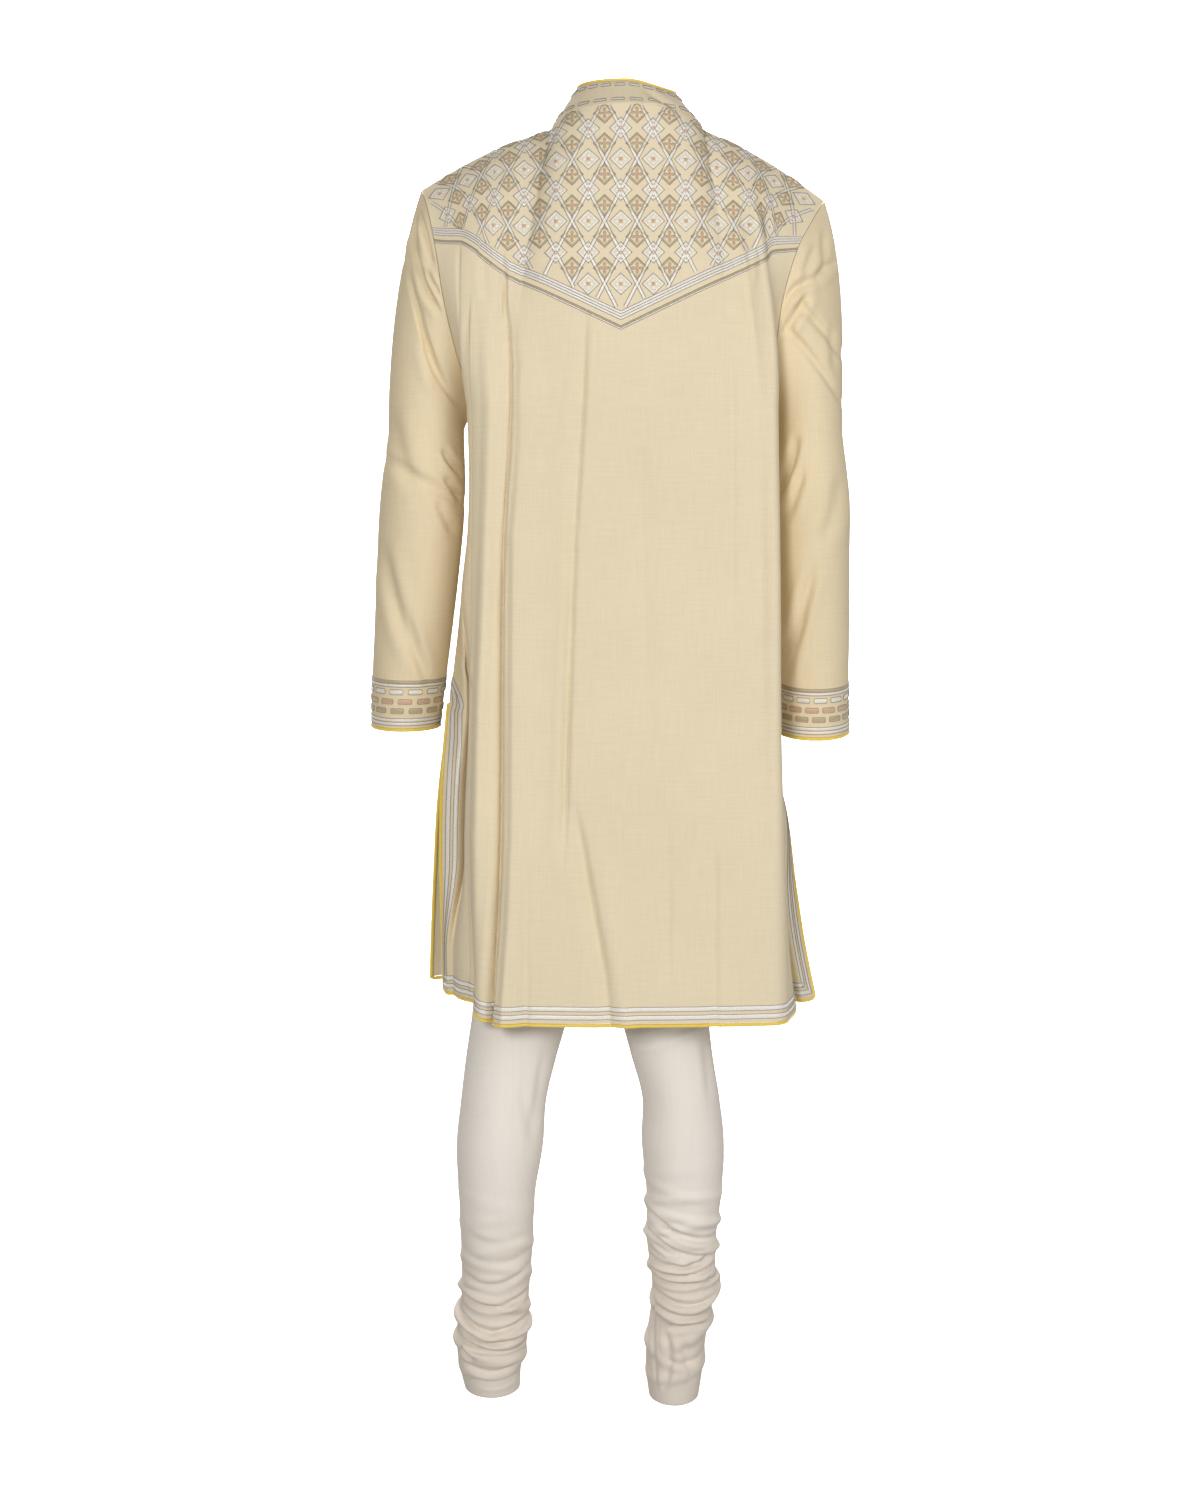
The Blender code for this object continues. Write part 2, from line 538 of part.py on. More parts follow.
def cloth_piece(name, outer, steps, material, closed=False):
    """A sheet or an open tube of cloth between an outer face and the inner one that steps lead to."""
    rows, columns = outer.shape[:2]
    count = rows * columns
    solid = bmesh.new()
    place_tag = solid.verts.layers.int.new("place")
    for sheet, points in enumerate((outer, outer + steps)):
        made = bmesh.ops.create_grid(solid, x_segments=columns - 1, y_segments=rows - 1, size=1.0)
        for vertex in made["verts"]:
            i = round((vertex.co.y + 1) / 2 * (rows - 1))
            j = round((vertex.co.x + 1) / 2 * (columns - 1))
            vertex.co = points[i, j]
            wrapped = 0 if closed and j == columns - 1 else j
            vertex[place_tag] = sheet * count + i * columns + wrapped
        if closed:
            bmesh.ops.remove_doubles(solid, verts=made["verts"], dist=1e-6)
    bmesh.ops.triangulate(solid, faces=solid.faces, quad_method="SHORT_EDGE")

    # The rim joins each edge of the outer face to the one below it on the inner face
    below = {vertex[place_tag] - count: vertex for vertex in solid.verts if vertex[place_tag] >= count}
    rim = [edge for edge in solid.edges if edge.is_boundary and edge.verts[0][place_tag] < count]
    for edge in rim:
        start, end = edge.verts
        solid.faces.new((start, end, below[end[place_tag]], below[start[place_tag]]))
    bmesh.ops.triangulate(solid, faces=solid.faces)
    bmesh.ops.recalc_face_normals(solid, faces=solid.faces)
    mesh = bpy.data.meshes.new(name)
    solid.to_mesh(mesh)
    solid.free()
    mesh.materials.append(material)
    mesh.shade_smooth()
    mesh.set_sharp_from_angle(angle=math.radians(50))
    piece = bpy.data.objects.new(name, mesh)
    bpy.context.collection.objects.link(piece)
    return piece


def grid(levels, rounds):
    """Every pair of the row and column values, ready for a shape function."""
    return np.meshgrid(levels, rounds, indexing="ij")


def piping(name, path, material):
    """A thin rolled strip of satin along an edge."""
    curve = bpy.data.curves.new(name, "CURVE")
    curve.dimensions = "3D"
    curve.bevel_depth = PIPING_RADIUS
    curve.bevel_resolution = PIPING_SIDES - 1
    curve.use_fill_caps = True
    spline = curve.splines.new("POLY")
    spline.points.add(len(path) - 1)
    for point, place in zip(spline.points, path):
        point.co = (*place, 1.0)
    curve.materials.append(material)
    piece = bpy.data.objects.new(name, curve)
    bpy.context.collection.objects.link(piece)
    return piece


def past_edge(edge, inner, distance, depth):
    """Points past a cloth's edge: on from its inner neighbours, and in by half the cloth."""
    out = edge - inner
    out = out / np.linalg.norm(out, axis=-1, keepdims=True)
    along = np.gradient(edge, axis=0)
    normal = np.cross(out, along)
    normal = normal / np.linalg.norm(normal, axis=-1, keepdims=True)
    return edge + out * distance + normal * depth


def armhole_shares():
    """Steps down an armhole, the same for both panels and the sleeve, with a close one at the shoulder."""
    return np.insert(np.linspace(0, 1, ARMHOLE_STEPS + 1), 1, SEAM_ROW)


def panel_levels():
    """Rows down a panel: the armhole's, the side seam's and the slit's, with a close one at its top."""
    length = CORNER_DROPS[-1] - CHEST_DROP
    slit_top = 1 + (SLIT_DROP - CHEST_DROP) / length
    slit_open = slit_top + SLIT_OPENS_OVER / length
    side_seam = np.linspace(1, slit_top, SIDE_SEAM_STEPS + 1)[1:]
    return np.concatenate([armhole_shares(), side_seam, np.linspace(slit_open, 2, SLIT_STEPS + 1)])


def panel_grid(face):
    """The outer face of a panel and the steps through its cloth, clear of the seams."""
    s = np.linspace(-1, 1, 2 * (NECK_STEPS + SHOULDER_STEPS) + 1)
    levels, shares = grid(panel_levels(), s)
    outer = panel(face, shares, levels)
    steps = inset(outer, CLOTH, 0, 0)
    seam = (0, -face, 0)
    on_shoulder = np.abs(s) > NECK_SHARE - 1e-6
    steps[0, on_shoulder] = hold_back(steps[0, on_shoulder], seam)
    steps[0] = hold_back(steps[0], (0, 0, 1))
    last_hole = ARMHOLE_STEPS
    for column_number in (0, -1):
        steps[last_hole:, column_number] = hold_back(steps[last_hole:, column_number], seam)
    return outer, steps


def build_panels(material):
    """The back and front panels."""
    for name, face in (("kurta_back", BACK), ("kurta_front", FRONT)):
        outer, steps = panel_grid(face)
        cloth_piece(name, outer, steps, material)


def build_panel_piping(material):
    """Piping down both slits and round the hem of each panel."""
    reach = PIPING_RADIUS + SEAM + PIPING_ALLOWANCE
    down = panel_levels()[-SLIT_STEPS - 1:]
    across = np.linspace(-1, 1, 2 * (NECK_STEPS + SHOULDER_STEPS) + 1)[::-1]
    for name, face in (("back_piping", BACK), ("front_piping", FRONT)):
        left = np.ones_like(down)
        left_edge = panel(face, left, down)
        left_inner = panel(face, left * (1 - NEAR_EDGE), down)
        hem_edge = panel(face, across, np.full_like(across, 2.0))
        hem_inner = panel(face, across, np.full_like(across, 2.0 - NEAR_EDGE))
        right_edge = panel(face, -left, down)
        right_inner = panel(face, -left * (1 - NEAR_EDGE), down)
        inward = face * CLOTH / 2
        left_path = past_edge(left_edge, left_inner, reach, inward)
        hem_path = past_edge(hem_edge, hem_inner, reach, inward)
        right_path = past_edge(right_edge, right_inner, reach, -inward)[::-1]
        corner_left = left_path[-1] + hem_path[0] - hem_edge[0]
        corner_right = right_path[0] + hem_path[-1] - hem_edge[-1]
        path = np.concatenate([
            left_path[:-1], corner_left[None], hem_path[1:-1], corner_right[None], right_path[1:],
        ])
        piping(name, path, material)


def armhole_steps(side):
    """The panels' steps through their cloth round an armhole, from the shoulder back and round."""
    count = len(armhole_shares())
    edge = -1 if side == 1 else 0
    back = panel_grid(BACK)[1][:count, edge]
    front = panel_grid(FRONT)[1][:count, edge]
    back[0] = front[0] = (back[0] + front[0]) / 2
    return np.concatenate([back, front[-2::-1]])


def build_sleeves(cloth, satin):
    """The sleeves, and the piping round their wrists."""
    half_round = armhole_shares() / 2
    a = np.concatenate([half_round, 1 - half_round[-2::-1]])
    cap = np.linspace(0, 1, CAP_STEPS + 1)
    w = np.concatenate([cap, 1 + np.linspace(0, 1, SLEEVE_STEPS + 1)[1:]])
    for word, side in (("left", 1), ("right", -1)):
        levels, rounds = grid(w, a)
        outer = sleeve(side, rounds, levels)
        steps = inset(outer, CLOTH, side * ARM_X, ARM_Y, closed=True)
        hole = armhole_steps(side)
        crosses = side * (hole[:, 0] - steps[0, :, 0]) > 0
        steps[0, crosses] = hole[crosses]
        cloth_piece("kurta_sleeve_" + word, outer, steps, cloth, closed=True)
        edge = sleeve(side, a, np.full_like(a, 2.0))
        inner = sleeve(side, a, np.full_like(a, 2.0 - NEAR_EDGE))
        build_ring_piping("cuff_piping_" + word, edge, inner, side, satin)


def build_ring_piping(name, edge, inner, side, material):
    """A closed round of piping past the end of a tube."""
    reach = PIPING_RADIUS + SEAM + PIPING_ALLOWANCE
    path = past_edge(edge, inner, reach, side * CLOTH / 2)[:-1]
    piece = piping(name, path, material)
    piece.data.splines[0].use_cyclic_u = True
    piece.data.use_fill_caps = False


def build_collar(cloth, satin):
    """The band collar and the piping on its top edge."""
    opening = COLLAR_OPENING / 2 / NECK_FRONT
    quarter = np.linspace(0, math.pi / 2, NECK_STEPS + 1)
    turn = np.concatenate([quarter, math.pi / 2 + quarter[1:-1], [math.pi - opening]])
    turn = np.concatenate([-turn[:0:-1], turn])
    lift = np.array([0.012, 0.5, 1.0])
    rises, turns = grid(lift, turn)
    outer = collar(turns, rises)
    steps = inset(outer, COLLAR_CLOTH, NECK_X, 0)
    steps[0] = hold_back(steps[0], (0, 0, -1))
    cloth_piece("kurta_collar", outer, steps, cloth)
    edge = collar(turn, np.full_like(turn, 1.0))
    inner = collar(turn, np.full_like(turn, 0.9))
    reach = PIPING_RADIUS + SEAM + FACET_ALLOWANCE
    piping("collar_piping", past_edge(edge, inner, reach, COLLAR_CLOTH / 2), satin)


def build_placket(cloth):
    """The strip that closes the front, and its buttons."""
    top = 0.02
    w = np.linspace(top, 1.0, PLACKET_STEPS + 1)
    s = np.linspace(-1, 1, 5) * PLACKET_WIDTH / 2 / HALF_GIRTH
    levels, shares = grid(w, s)
    under = panel(FRONT, shares, levels)
    along, across = np.gradient(under, axis=0), np.gradient(under, axis=1)
    normal = np.cross(along, across)
    normal = normal / np.linalg.norm(normal, axis=-1, keepdims=True)
    normal = normal * np.where(normal[..., 1:2] < 0, 1.0, -1.0)
    keep = under[:, 2, 2] > -(NECK_FRONT_DROP + PLACKET_LENGTH)
    strip = (under + normal * (PLACKET_CLOTH + SEAM + FACET_ALLOWANCE))[keep]
    cloth_piece("kurta_placket", strip, inset(strip, PLACKET_CLOTH, 0, 0), cloth)
    middle, out = under[:, 2], normal[:, 2]
    drops = -middle[:, 2]
    for number in range(BUTTON_COUNT):
        drop = NECK_FRONT_DROP + BUTTON_FIRST + number * BUTTON_PITCH
        place = np.array([np.interp(drop, drops, middle[:, axis]) for axis in range(3)])
        facing = np.array([np.interp(drop, drops, out[:, axis]) for axis in range(3)])
        button("kurta_button_%d" % (number + 1), place, facing, cloth)


def button(name, place, facing, material):
    """A small covered button, domed on its face."""
    dome = bmesh.new()
    bmesh.ops.create_cone(
        dome, cap_ends=True, segments=12, radius1=BUTTON_RADIUS, radius2=BUTTON_RADIUS * 0.6,
        depth=BUTTON_HEIGHT,
    )
    clear = PLACKET_CLOTH + 3 * SEAM + FACET_ALLOWANCE
    tilt = math.asin(facing[2] / np.linalg.norm(facing))
    centre = place + facing * (clear + BUTTON_HEIGHT / 2)
    mesh = bpy.data.meshes.new(name)
    dome.to_mesh(mesh)
    dome.free()
    mesh.materials.append(material)
    piece = bpy.data.objects.new(name, mesh)
    piece.location = centre
    piece.rotation_euler = (math.pi / 2 - tilt, 0, 0)
    bpy.context.collection.objects.link(piece)
    return piece


def build_churidar(cloth):
    """The two legs with their halves of the seat, and the waistband."""
    a = np.linspace(0, 1, LEG_ROUND + 1)
    w = np.concatenate([np.linspace(0, 1, HIP_STEPS + 1), leg_levels()])
    for word, side in (("left", 1), ("right", -1)):
        levels, rounds = grid(w, a)
        outer = leg(side, rounds, levels)
        steps = inset(outer, CLOTH, LEGS[side][2].x, 0, closed=True)
        steps[0] = hold_back(hold_back(steps[0], (-side, 0, 0)), (0, 0, 1))
        cloth_piece("churidar_leg_" + word, outer, steps, cloth, closed=True)
    turn = np.linspace(0, 2 * math.pi, 33)
    rise = np.linspace(SEAM + FACET_ALLOWANCE, WAISTBAND_HEIGHT, 3)
    rises, turns = grid(rise, turn)
    band = np.stack([
        HIP_X + (WAIST_HALF_WIDTH + 0.001) * np.cos(turns),
        WAIST_Y + (WAIST_HALF_DEPTH + 0.001) * np.sin(turns),
        -WAIST_DROP + rises,
    ], axis=-1)
    steps = inset(band, WAISTBAND_CLOTH, HIP_X, WAIST_Y, closed=True)
    cloth_piece("churidar_waistband", band, steps, cloth, closed=True)


def leg_levels():
    """Rows along the leg: wide apart to the calf, close together in the gathered part."""
    upper = 1 + np.linspace(0, CALF_SHARE, CALF_STEPS + 1)[1:]
    lower = 1 + np.linspace(CALF_SHARE, 1, ANKLE_STEPS + 1)[1:]
    return np.concatenate([upper, lower])


def main():
    for piece in list(bpy.data.objects):
        bpy.data.objects.remove(piece)
    cream = cloth_material("kurta cloth", KURTA_CREAM, 0.85)
    satin = cloth_material("satin piping", PIPING_YELLOW, 0.4)
    white = cloth_material("churidar cloth", TROUSER_WHITE, 0.85)
    build_panels(cream)
    build_panel_piping(satin)
    build_sleeves(cream, satin)
    build_collar(cream, satin)
    build_placket(cream)
    build_churidar(white)


main()
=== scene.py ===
"""Kurta set: an embroidered cream kurta over off-white churidar trousers, finished cloth by cloth.

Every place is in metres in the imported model's own frame. The front of the kurta faces -Y, the
wearer's left is +X, and heights are given as drops below the origin at the nape of the neck.
"""

import math
import random
from collections import namedtuple

import bmesh
import bpy
import numpy as np
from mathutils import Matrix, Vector
from mathutils.bvhtree import BVHTree


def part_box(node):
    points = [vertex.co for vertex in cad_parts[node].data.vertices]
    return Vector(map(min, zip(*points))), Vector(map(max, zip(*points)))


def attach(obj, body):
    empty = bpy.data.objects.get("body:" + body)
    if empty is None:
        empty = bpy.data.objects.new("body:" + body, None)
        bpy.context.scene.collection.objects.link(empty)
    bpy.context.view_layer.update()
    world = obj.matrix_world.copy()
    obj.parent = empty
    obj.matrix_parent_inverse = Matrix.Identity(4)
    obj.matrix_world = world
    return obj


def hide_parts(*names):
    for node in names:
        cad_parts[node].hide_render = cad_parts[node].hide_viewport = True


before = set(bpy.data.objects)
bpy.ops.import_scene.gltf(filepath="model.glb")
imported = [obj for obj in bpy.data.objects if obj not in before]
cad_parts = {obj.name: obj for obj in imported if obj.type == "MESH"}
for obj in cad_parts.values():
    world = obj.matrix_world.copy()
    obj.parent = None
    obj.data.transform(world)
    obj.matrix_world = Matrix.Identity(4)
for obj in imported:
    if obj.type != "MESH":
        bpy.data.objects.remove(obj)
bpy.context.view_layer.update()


# Kurta back panel. One length of cream slub cotton from the shoulder seams to the hem, turned in at
# the slits and the hem, and sewn to the front panel down both sides as far as the slits. It hangs
# from the shoulders in long soft folds, the deepest one down the left side.
CHEST_DROP = 0.335
SLIT_DROP = 0.675
SLIT_OPENS_OVER = 0.02
SLIT_WIDTH = 0.012
SEAM = 0.0003
FACET_ALLOWANCE = 0.0002
SHOULDER_SEAM = 0.0008
NECK_X = -0.005
NECK_HALF_WIDTH = 0.085
NECK_BACK = 0.075
NECK_FRONT = 0.085
NECK_SIDE_DROP = 0.020
NECK_FRONT_DROP = 0.075
SHOULDER_CURVE = 0.007
NECK_SHARE = 6 / 13
# From the neck and from the shoulder's tip the cloth leads back before it falls, and it hangs upright from
# this far above the chest
NECK_LEAD = 0.010
TIP_LEAD = 0.068
NECK_LEAD_DOWN = 0.055
UPRIGHT_OVER = 0.11
# The share of the half width from which the cloth eases into the armhole, and how late it does so
ARMHOLE_EASE_FROM = 0.45
ARMHOLE_EASE_POWER = 1.3
# The share of the half width over which the folds fade at the side seams, and how far they lean sideways
FOLD_FADE = 0.12
FOLD_LEAN = 0.5

Girth = namedtuple("Girth", "drop face left_width right_width left_corner right_corner bow")
BACK_GIRTHS = (
    Girth(0.335, 0.112, 0.184, 0.178, 0.050, 0.030, 0.012),
    Girth(0.450, 0.106, 0.177, 0.178, 0.045, 0.022, 0.010),
    Girth(0.600, 0.108, 0.171, 0.178, 0.040, 0.018, 0.008),
    Girth(0.680, 0.112, 0.171, 0.179, 0.036, 0.018, 0.008),
    Girth(0.800, 0.118, 0.171, 0.181, 0.034, 0.018, 0.008),
    Girth(0.950, 0.122, 0.171, 0.184, 0.032, 0.018, 0.008),
    Girth(1.040, 0.124, 0.169, 0.185, 0.030, 0.018, 0.008),
)
FRONT_GIRTHS = (
    Girth(0.335, -0.128, 0.172, 0.170, 0.080, 0.080, 0.020),
    Girth(0.450, -0.130, 0.172, 0.168, 0.075, 0.075, 0.018),
    Girth(0.600, -0.134, 0.184, 0.170, 0.070, 0.070, 0.016),
    Girth(0.680, -0.136, 0.192, 0.174, 0.065, 0.065, 0.014),
    Girth(0.800, -0.140, 0.196, 0.182, 0.060, 0.060, 0.014),
    Girth(0.950, -0.144, 0.200, 0.190, 0.055, 0.055, 0.014),
    Girth(1.040, -0.146, 0.204, 0.196, 0.050, 0.050, 0.014),
)
BACK, FRONT = 1, -1
GIRTHS = {BACK: BACK_GIRTHS, FRONT: FRONT_GIRTHS}

# Where the side seams and, below them, the slits lie
Side = namedtuple("Side", "drop y left right")
SIDES = (
    Side(0.335, -0.005, 0.168, 0.164),
    Side(0.400, -0.005, 0.170, 0.162),
    Side(0.466, -0.005, 0.176, 0.162),
    Side(0.520, -0.005, 0.183, 0.162),
    Side(0.600, -0.006, 0.191, 0.163),
    Side(0.675, -0.010, 0.200, 0.165),
    Side(0.740, -0.016, 0.205, 0.174),
    Side(0.800, -0.022, 0.208, 0.190),
    Side(0.890, -0.030, 0.209, 0.2015),
    Side(0.950, -0.036, 0.209, 0.2105),
    Side(1.040, -0.045, 0.208, 0.229),
)
# How far each panel's slit edge has moved off that line at the hem
Spread = namedtuple("Spread", "left right y")
SPREADS = {BACK: Spread(0.000, 0.000, 0.010), FRONT: Spread(0.018, -0.002, -0.012)}
# How far the cloth beside each slit turns outwards, how much of the falls below it takes, the drop
# where that starts, and how far it closes again towards the hem
SlitTurn = namedtuple("SlitTurn", "out fall start closes")
SLIT_TURNS = {
    (BACK, 1): SlitTurn(0.026, 1.0, 0.54, 0.8),
    (BACK, -1): SlitTurn(0.016, 0.7, 0.78, 0.0),
    (FRONT, 1): SlitTurn(0.006, 0.8, 0.66, 0.0),
    (FRONT, -1): SlitTurn(0.006, 0.5, 0.70, 0.0),
}
# The turn starts at one share of the half width. At two more shares of what is left it is whole, and is
# let go by the seam above the slit
TURN_FROM = 0.80
TURN_WHOLE = 0.75
TURN_HELD = 0.45
# The drops where the turn sets in and where the slit closes again, and how far each change takes
TURN_DROP = 0.46
TURN_OVER = 0.20
TURN_FREE_OVER = 0.10
FALL_OVER = 0.16
CLOSE_DROP = 0.85
CLOSE_OVER = 0.12
# The fall beside a slit: how far in along X and Y the cloth lies at each share of the panel's half width
SlitFall = namedtuple("SlitFall", "share x y")
SLIT_FALLS = (
    SlitFall(0.68, 0.000, 0.000),
    SlitFall(0.72, 0.003, 0.000),
    SlitFall(0.76, 0.008, 0.000),
    SlitFall(0.80, 0.013, 0.009),
    SlitFall(0.84, 0.019, 0.030),
    SlitFall(0.87, 0.021, 0.034),
    SlitFall(0.90, 0.020, 0.022),
    SlitFall(0.92, 0.018, 0.014),
    SlitFall(0.96, 0.010, 0.005),
    SlitFall(1.00, 0.000, 0.000),
)
# How far each panel's hem drops at its middle, and at its left (1) and right (-1) corners
HEM_DROPS = {BACK: 1.027, FRONT: 1.023}
CORNER_DROPS = {1: 1.013, -1: 1.025}
LEFT_RISE_FROM = 0.50
LEFT_RISE_OVER = 0.20

# The armhole from the shoulder's tip to the underarm: x, the back and front edges along Y, the drop
Armhole = namedtuple("Armhole", "share x back front drop")
ARMHOLES = {
    1: (
        Armhole(0.0, 0.2290, 0.000, 0.000, 0.089),
        Armhole(0.2, 0.220, 0.028, -0.028, 0.114),
        Armhole(0.4, 0.210, 0.050, -0.050, 0.160),
        Armhole(0.6, 0.201, 0.060, -0.062, 0.215),
        Armhole(0.8, 0.186, 0.048, -0.054, 0.280),
        Armhole(1.0, 0.168, -0.005, -0.005, 0.335),
    ),
    -1: (
        Armhole(0.0, -0.2305, 0.000, 0.000, 0.101),
        Armhole(0.2, -0.213, 0.030, -0.030, 0.128),
        Armhole(0.4, -0.196, 0.052, -0.052, 0.160),
        Armhole(0.6, -0.180, 0.058, -0.062, 0.215),
        Armhole(0.8, -0.171, 0.046, -0.054, 0.280),
        Armhole(1.0, -0.164, -0.005, -0.005, 0.335),
    ),
}

# The long folds. Each follows its path, given as drops with the distance from the centre line, + to the
# left, and the height there, - for a trough. A trough is sharp, a ridge round, and each has its own
# reach to the left and to the right: the cloth to the right of a deep trough overhangs it.
Fold = namedtuple("Fold", "panel left_reach right_reach path")
FOLDS = (
    Fold(BACK, 0.031, 0.0040, (
        (0.160, 0.1500, 0.000), (0.180, 0.1485, -0.002), (0.215, 0.1410, -0.003), (0.250, 0.1320, -0.003),
        (0.290, 0.1262, -0.004), (0.330, 0.1246, -0.004), (0.385, 0.1259, -0.005), (0.430, 0.1298, -0.006),
        (0.480, 0.1334, -0.009), (0.560, 0.1347, -0.012), (0.660, 0.1349, -0.013), (0.740, 0.1349, -0.013),
        (0.815, 0.1356, -0.014), (0.860, 0.1370, -0.016), (0.908, 0.1398, -0.018), (0.960, 0.1436, -0.019),
        (1.040, 0.1496, -0.020))),
    Fold(BACK, 0.0042, 0.0028, (
        (0.165, 0.1500, 0.000), (0.215, 0.1410, -0.002), (0.250, 0.1320, -0.003), (0.290, 0.1262, -0.004),
        (0.330, 0.1246, -0.004), (0.430, 0.1298, -0.004), (0.560, 0.1347, -0.005), (0.740, 0.1349, -0.006),
        (0.860, 0.1370, -0.006), (0.960, 0.1436, -0.006), (1.040, 0.1496, -0.006))),
    Fold(BACK, 0.009, 0.034, (
        (0.200, 0.1300, 0.000), (0.290, 0.1130, 0.003), (0.385, 0.1130, 0.003), (0.480, 0.1210, 0.005),
        (0.815, 0.1230, 0.006), (0.908, 0.1270, 0.007), (1.040, 0.1370, 0.008))),
    Fold(BACK, 0.014, 0.012, (
        (0.200, 0.1620, 0.000), (0.330, 0.1480, 0.003), (0.450, 0.1520, 0.004), (0.660, 0.1600, 0.006),
        (0.780, 0.1630, 0.006), (0.890, 0.1700, 0.003), (0.970, 0.1760, 0.000))),
    Fold(BACK, 0.034, 0.0060, (
        (0.210, 0.1870, 0.000), (0.280, 0.1840, -0.006), (0.351, 0.1810, -0.010), (0.449, 0.1823, -0.015),
        (0.553, 0.1840, -0.021), (0.666, 0.1835, -0.026), (0.779, 0.1860, -0.026), (0.840, 0.1900, -0.022),
        (0.884, 0.1950, -0.015), (0.970, 0.2060, -0.006), (1.020, 0.2120, 0.000))),
    Fold(BACK, 0.050, 0.045, (
        (0.820, 0.1750, 0.000), (0.900, 0.1850, -0.008), (0.970, 0.1920, -0.016), (1.040, 0.1980, -0.020))),
    Fold(BACK, 0.020, 0.0055, (
        (0.225, 0.0414, 0.000), (0.251, 0.0414, -0.004), (0.327, 0.0436, -0.0065), (0.400, 0.0482, -0.006),
        (0.480, 0.0532, -0.005), (0.580, 0.0572, -0.006), (0.660, 0.0601, -0.0075),
        (0.740, 0.0624, -0.0075),
        (0.790, 0.0640, -0.006), (0.860, 0.0670, 0.000))),
    Fold(BACK, 0.012, 0.010, (
        (0.400, 0.0620, 0.000), (0.560, 0.0660, 0.002), (0.660, 0.0690, 0.003), (0.770, 0.0720, 0.003),
        (0.860, 0.0760, 0.000))),
    Fold(BACK, 0.022, 0.0075, (
        (0.770, 0.0560, 0.000), (0.822, 0.0450, -0.006), (0.870, 0.0370, -0.008), (0.920, 0.0280, -0.008),
        (0.967, 0.0196, -0.006), (1.040, 0.0120, -0.004))),
    Fold(BACK, 0.014, 0.016, (
        (0.800, 0.0300, 0.000), (0.900, 0.0160, 0.002), (1.040, -0.0060, 0.004))),
    Fold(BACK, 0.016, 0.009, (
        (0.820, 0.1070, 0.000), (0.877, 0.1083, -0.003), (0.984, 0.1086, -0.004), (1.040, 0.1090, -0.004))),
    Fold(BACK, 0.014, 0.007, (
        (0.790, -0.0515, 0.000), (0.846, -0.0516, -0.003), (0.937, -0.0518, -0.003),
        (1.000, -0.0520, 0.000))),
    Fold(BACK, 0.018, 0.008, (
        (0.790, -0.1000, 0.000), (0.856, -0.1036, -0.004), (0.983, -0.1040, -0.004),
        (1.040, -0.1050, -0.003))),
    Fold(BACK, 0.016, 0.008, (
        (0.240, -0.1210, 0.000), (0.328, -0.1224, -0.003), (0.506, -0.1232, -0.003),
        (0.640, -0.1230, 0.000))),
    Fold(BACK, 0.026, 0.024, (
        (0.300, -0.0180, 0.000), (0.420, -0.0210, -0.002), (0.600, -0.0250, -0.003),
        (0.780, -0.0300, 0.000))),
    Fold(BACK, 0.012, 0.006, (
        (0.155, 0.2230, 0.000), (0.175, 0.2210, -0.003), (0.217, 0.2145, -0.003), (0.250, 0.2100, 0.000))),
    Fold(BACK, 0.018, 0.020, (
        (0.080, -0.1700, 0.000), (0.120, -0.1710, 0.006), (0.330, -0.1700, 0.006), (0.560, -0.1720, 0.008),
        (0.760, -0.1740, 0.004), (0.900, -0.1760, 0.000))),
    Fold(BACK, 0.012, 0.006, (
        (0.090, -0.1480, 0.000), (0.130, -0.1500, -0.004), (0.240, -0.1510, -0.004),
        (0.340, -0.1520, 0.000))),
    Fold(FRONT, 0.026, 0.008, (
        (0.300, 0.1080, 0.000), (0.400, 0.1120, -0.006), (0.700, 0.1220, -0.012), (1.040, 0.1300, -0.013))),
    Fold(FRONT, 0.012, 0.022, (
        (0.380, 0.0880, 0.000), (0.700, 0.0980, 0.004), (1.040, 0.1060, 0.006))),
    Fold(FRONT, 0.009, 0.026, (
        (0.320, -0.1020, 0.000), (0.450, -0.1060, -0.008), (0.800, -0.1160, -0.012),
        (1.040, -0.1240, -0.012))),
    Fold(FRONT, 0.022, 0.012, (
        (0.420, -0.0780, 0.000), (0.800, -0.0880, 0.005), (1.040, -0.0960, 0.005))),
    Fold(FRONT, 0.020, 0.010, (
        (0.440, 0.0300, 0.000), (0.560, 0.0330, -0.006), (0.850, 0.0400, -0.008), (1.040, 0.0440, -0.007))),
    Fold(FRONT, 0.010, 0.020, (
        (0.540, -0.0450, 0.000), (0.700, -0.0430, -0.006), (1.040, -0.0400, -0.007))),
    Fold(FRONT, 0.020, 0.020, (
        (0.600, 0.0050, 0.000), (0.800, 0.0020, 0.004), (1.040, 0.0000, 0.004))),
    Fold(FRONT, 0.016, 0.008, (
        (0.850, 0.0700, 0.000), (0.950, 0.0720, -0.004), (1.040, 0.0740, -0.004))),
)


def column(rows, key, name):
    """A named column of a table, read on a smooth curve through its rows."""
    keys = np.array([row[0] for row in rows])
    values = np.array([getattr(row, name) for row in rows])
    slopes = np.gradient(values, keys)
    key = np.clip(key, keys[0], keys[-1])
    low = np.clip(np.searchsorted(keys, key) - 1, 0, len(keys) - 2)
    span = keys[low + 1] - keys[low]
    t = (key - keys[low]) / span
    start = values[low] * (1 + 2 * t) * (1 - t) ** 2 + slopes[low] * span * t * (1 - t) ** 2
    end = values[low + 1] * t * t * (3 - 2 * t) + slopes[low + 1] * span * t * t * (t - 1)
    return start + end


def ease(x):
    """0 below 0, 1 above 1, smooth between."""
    x = np.clip(x, 0.0, 1.0)
    return x * x * (3 - 2 * x)


def bump(x):
    """A soft ridge of height 1 between -1 and 1."""
    return np.where(np.abs(x) < 1, np.cos(x * math.pi / 2) ** 2, 0.0)


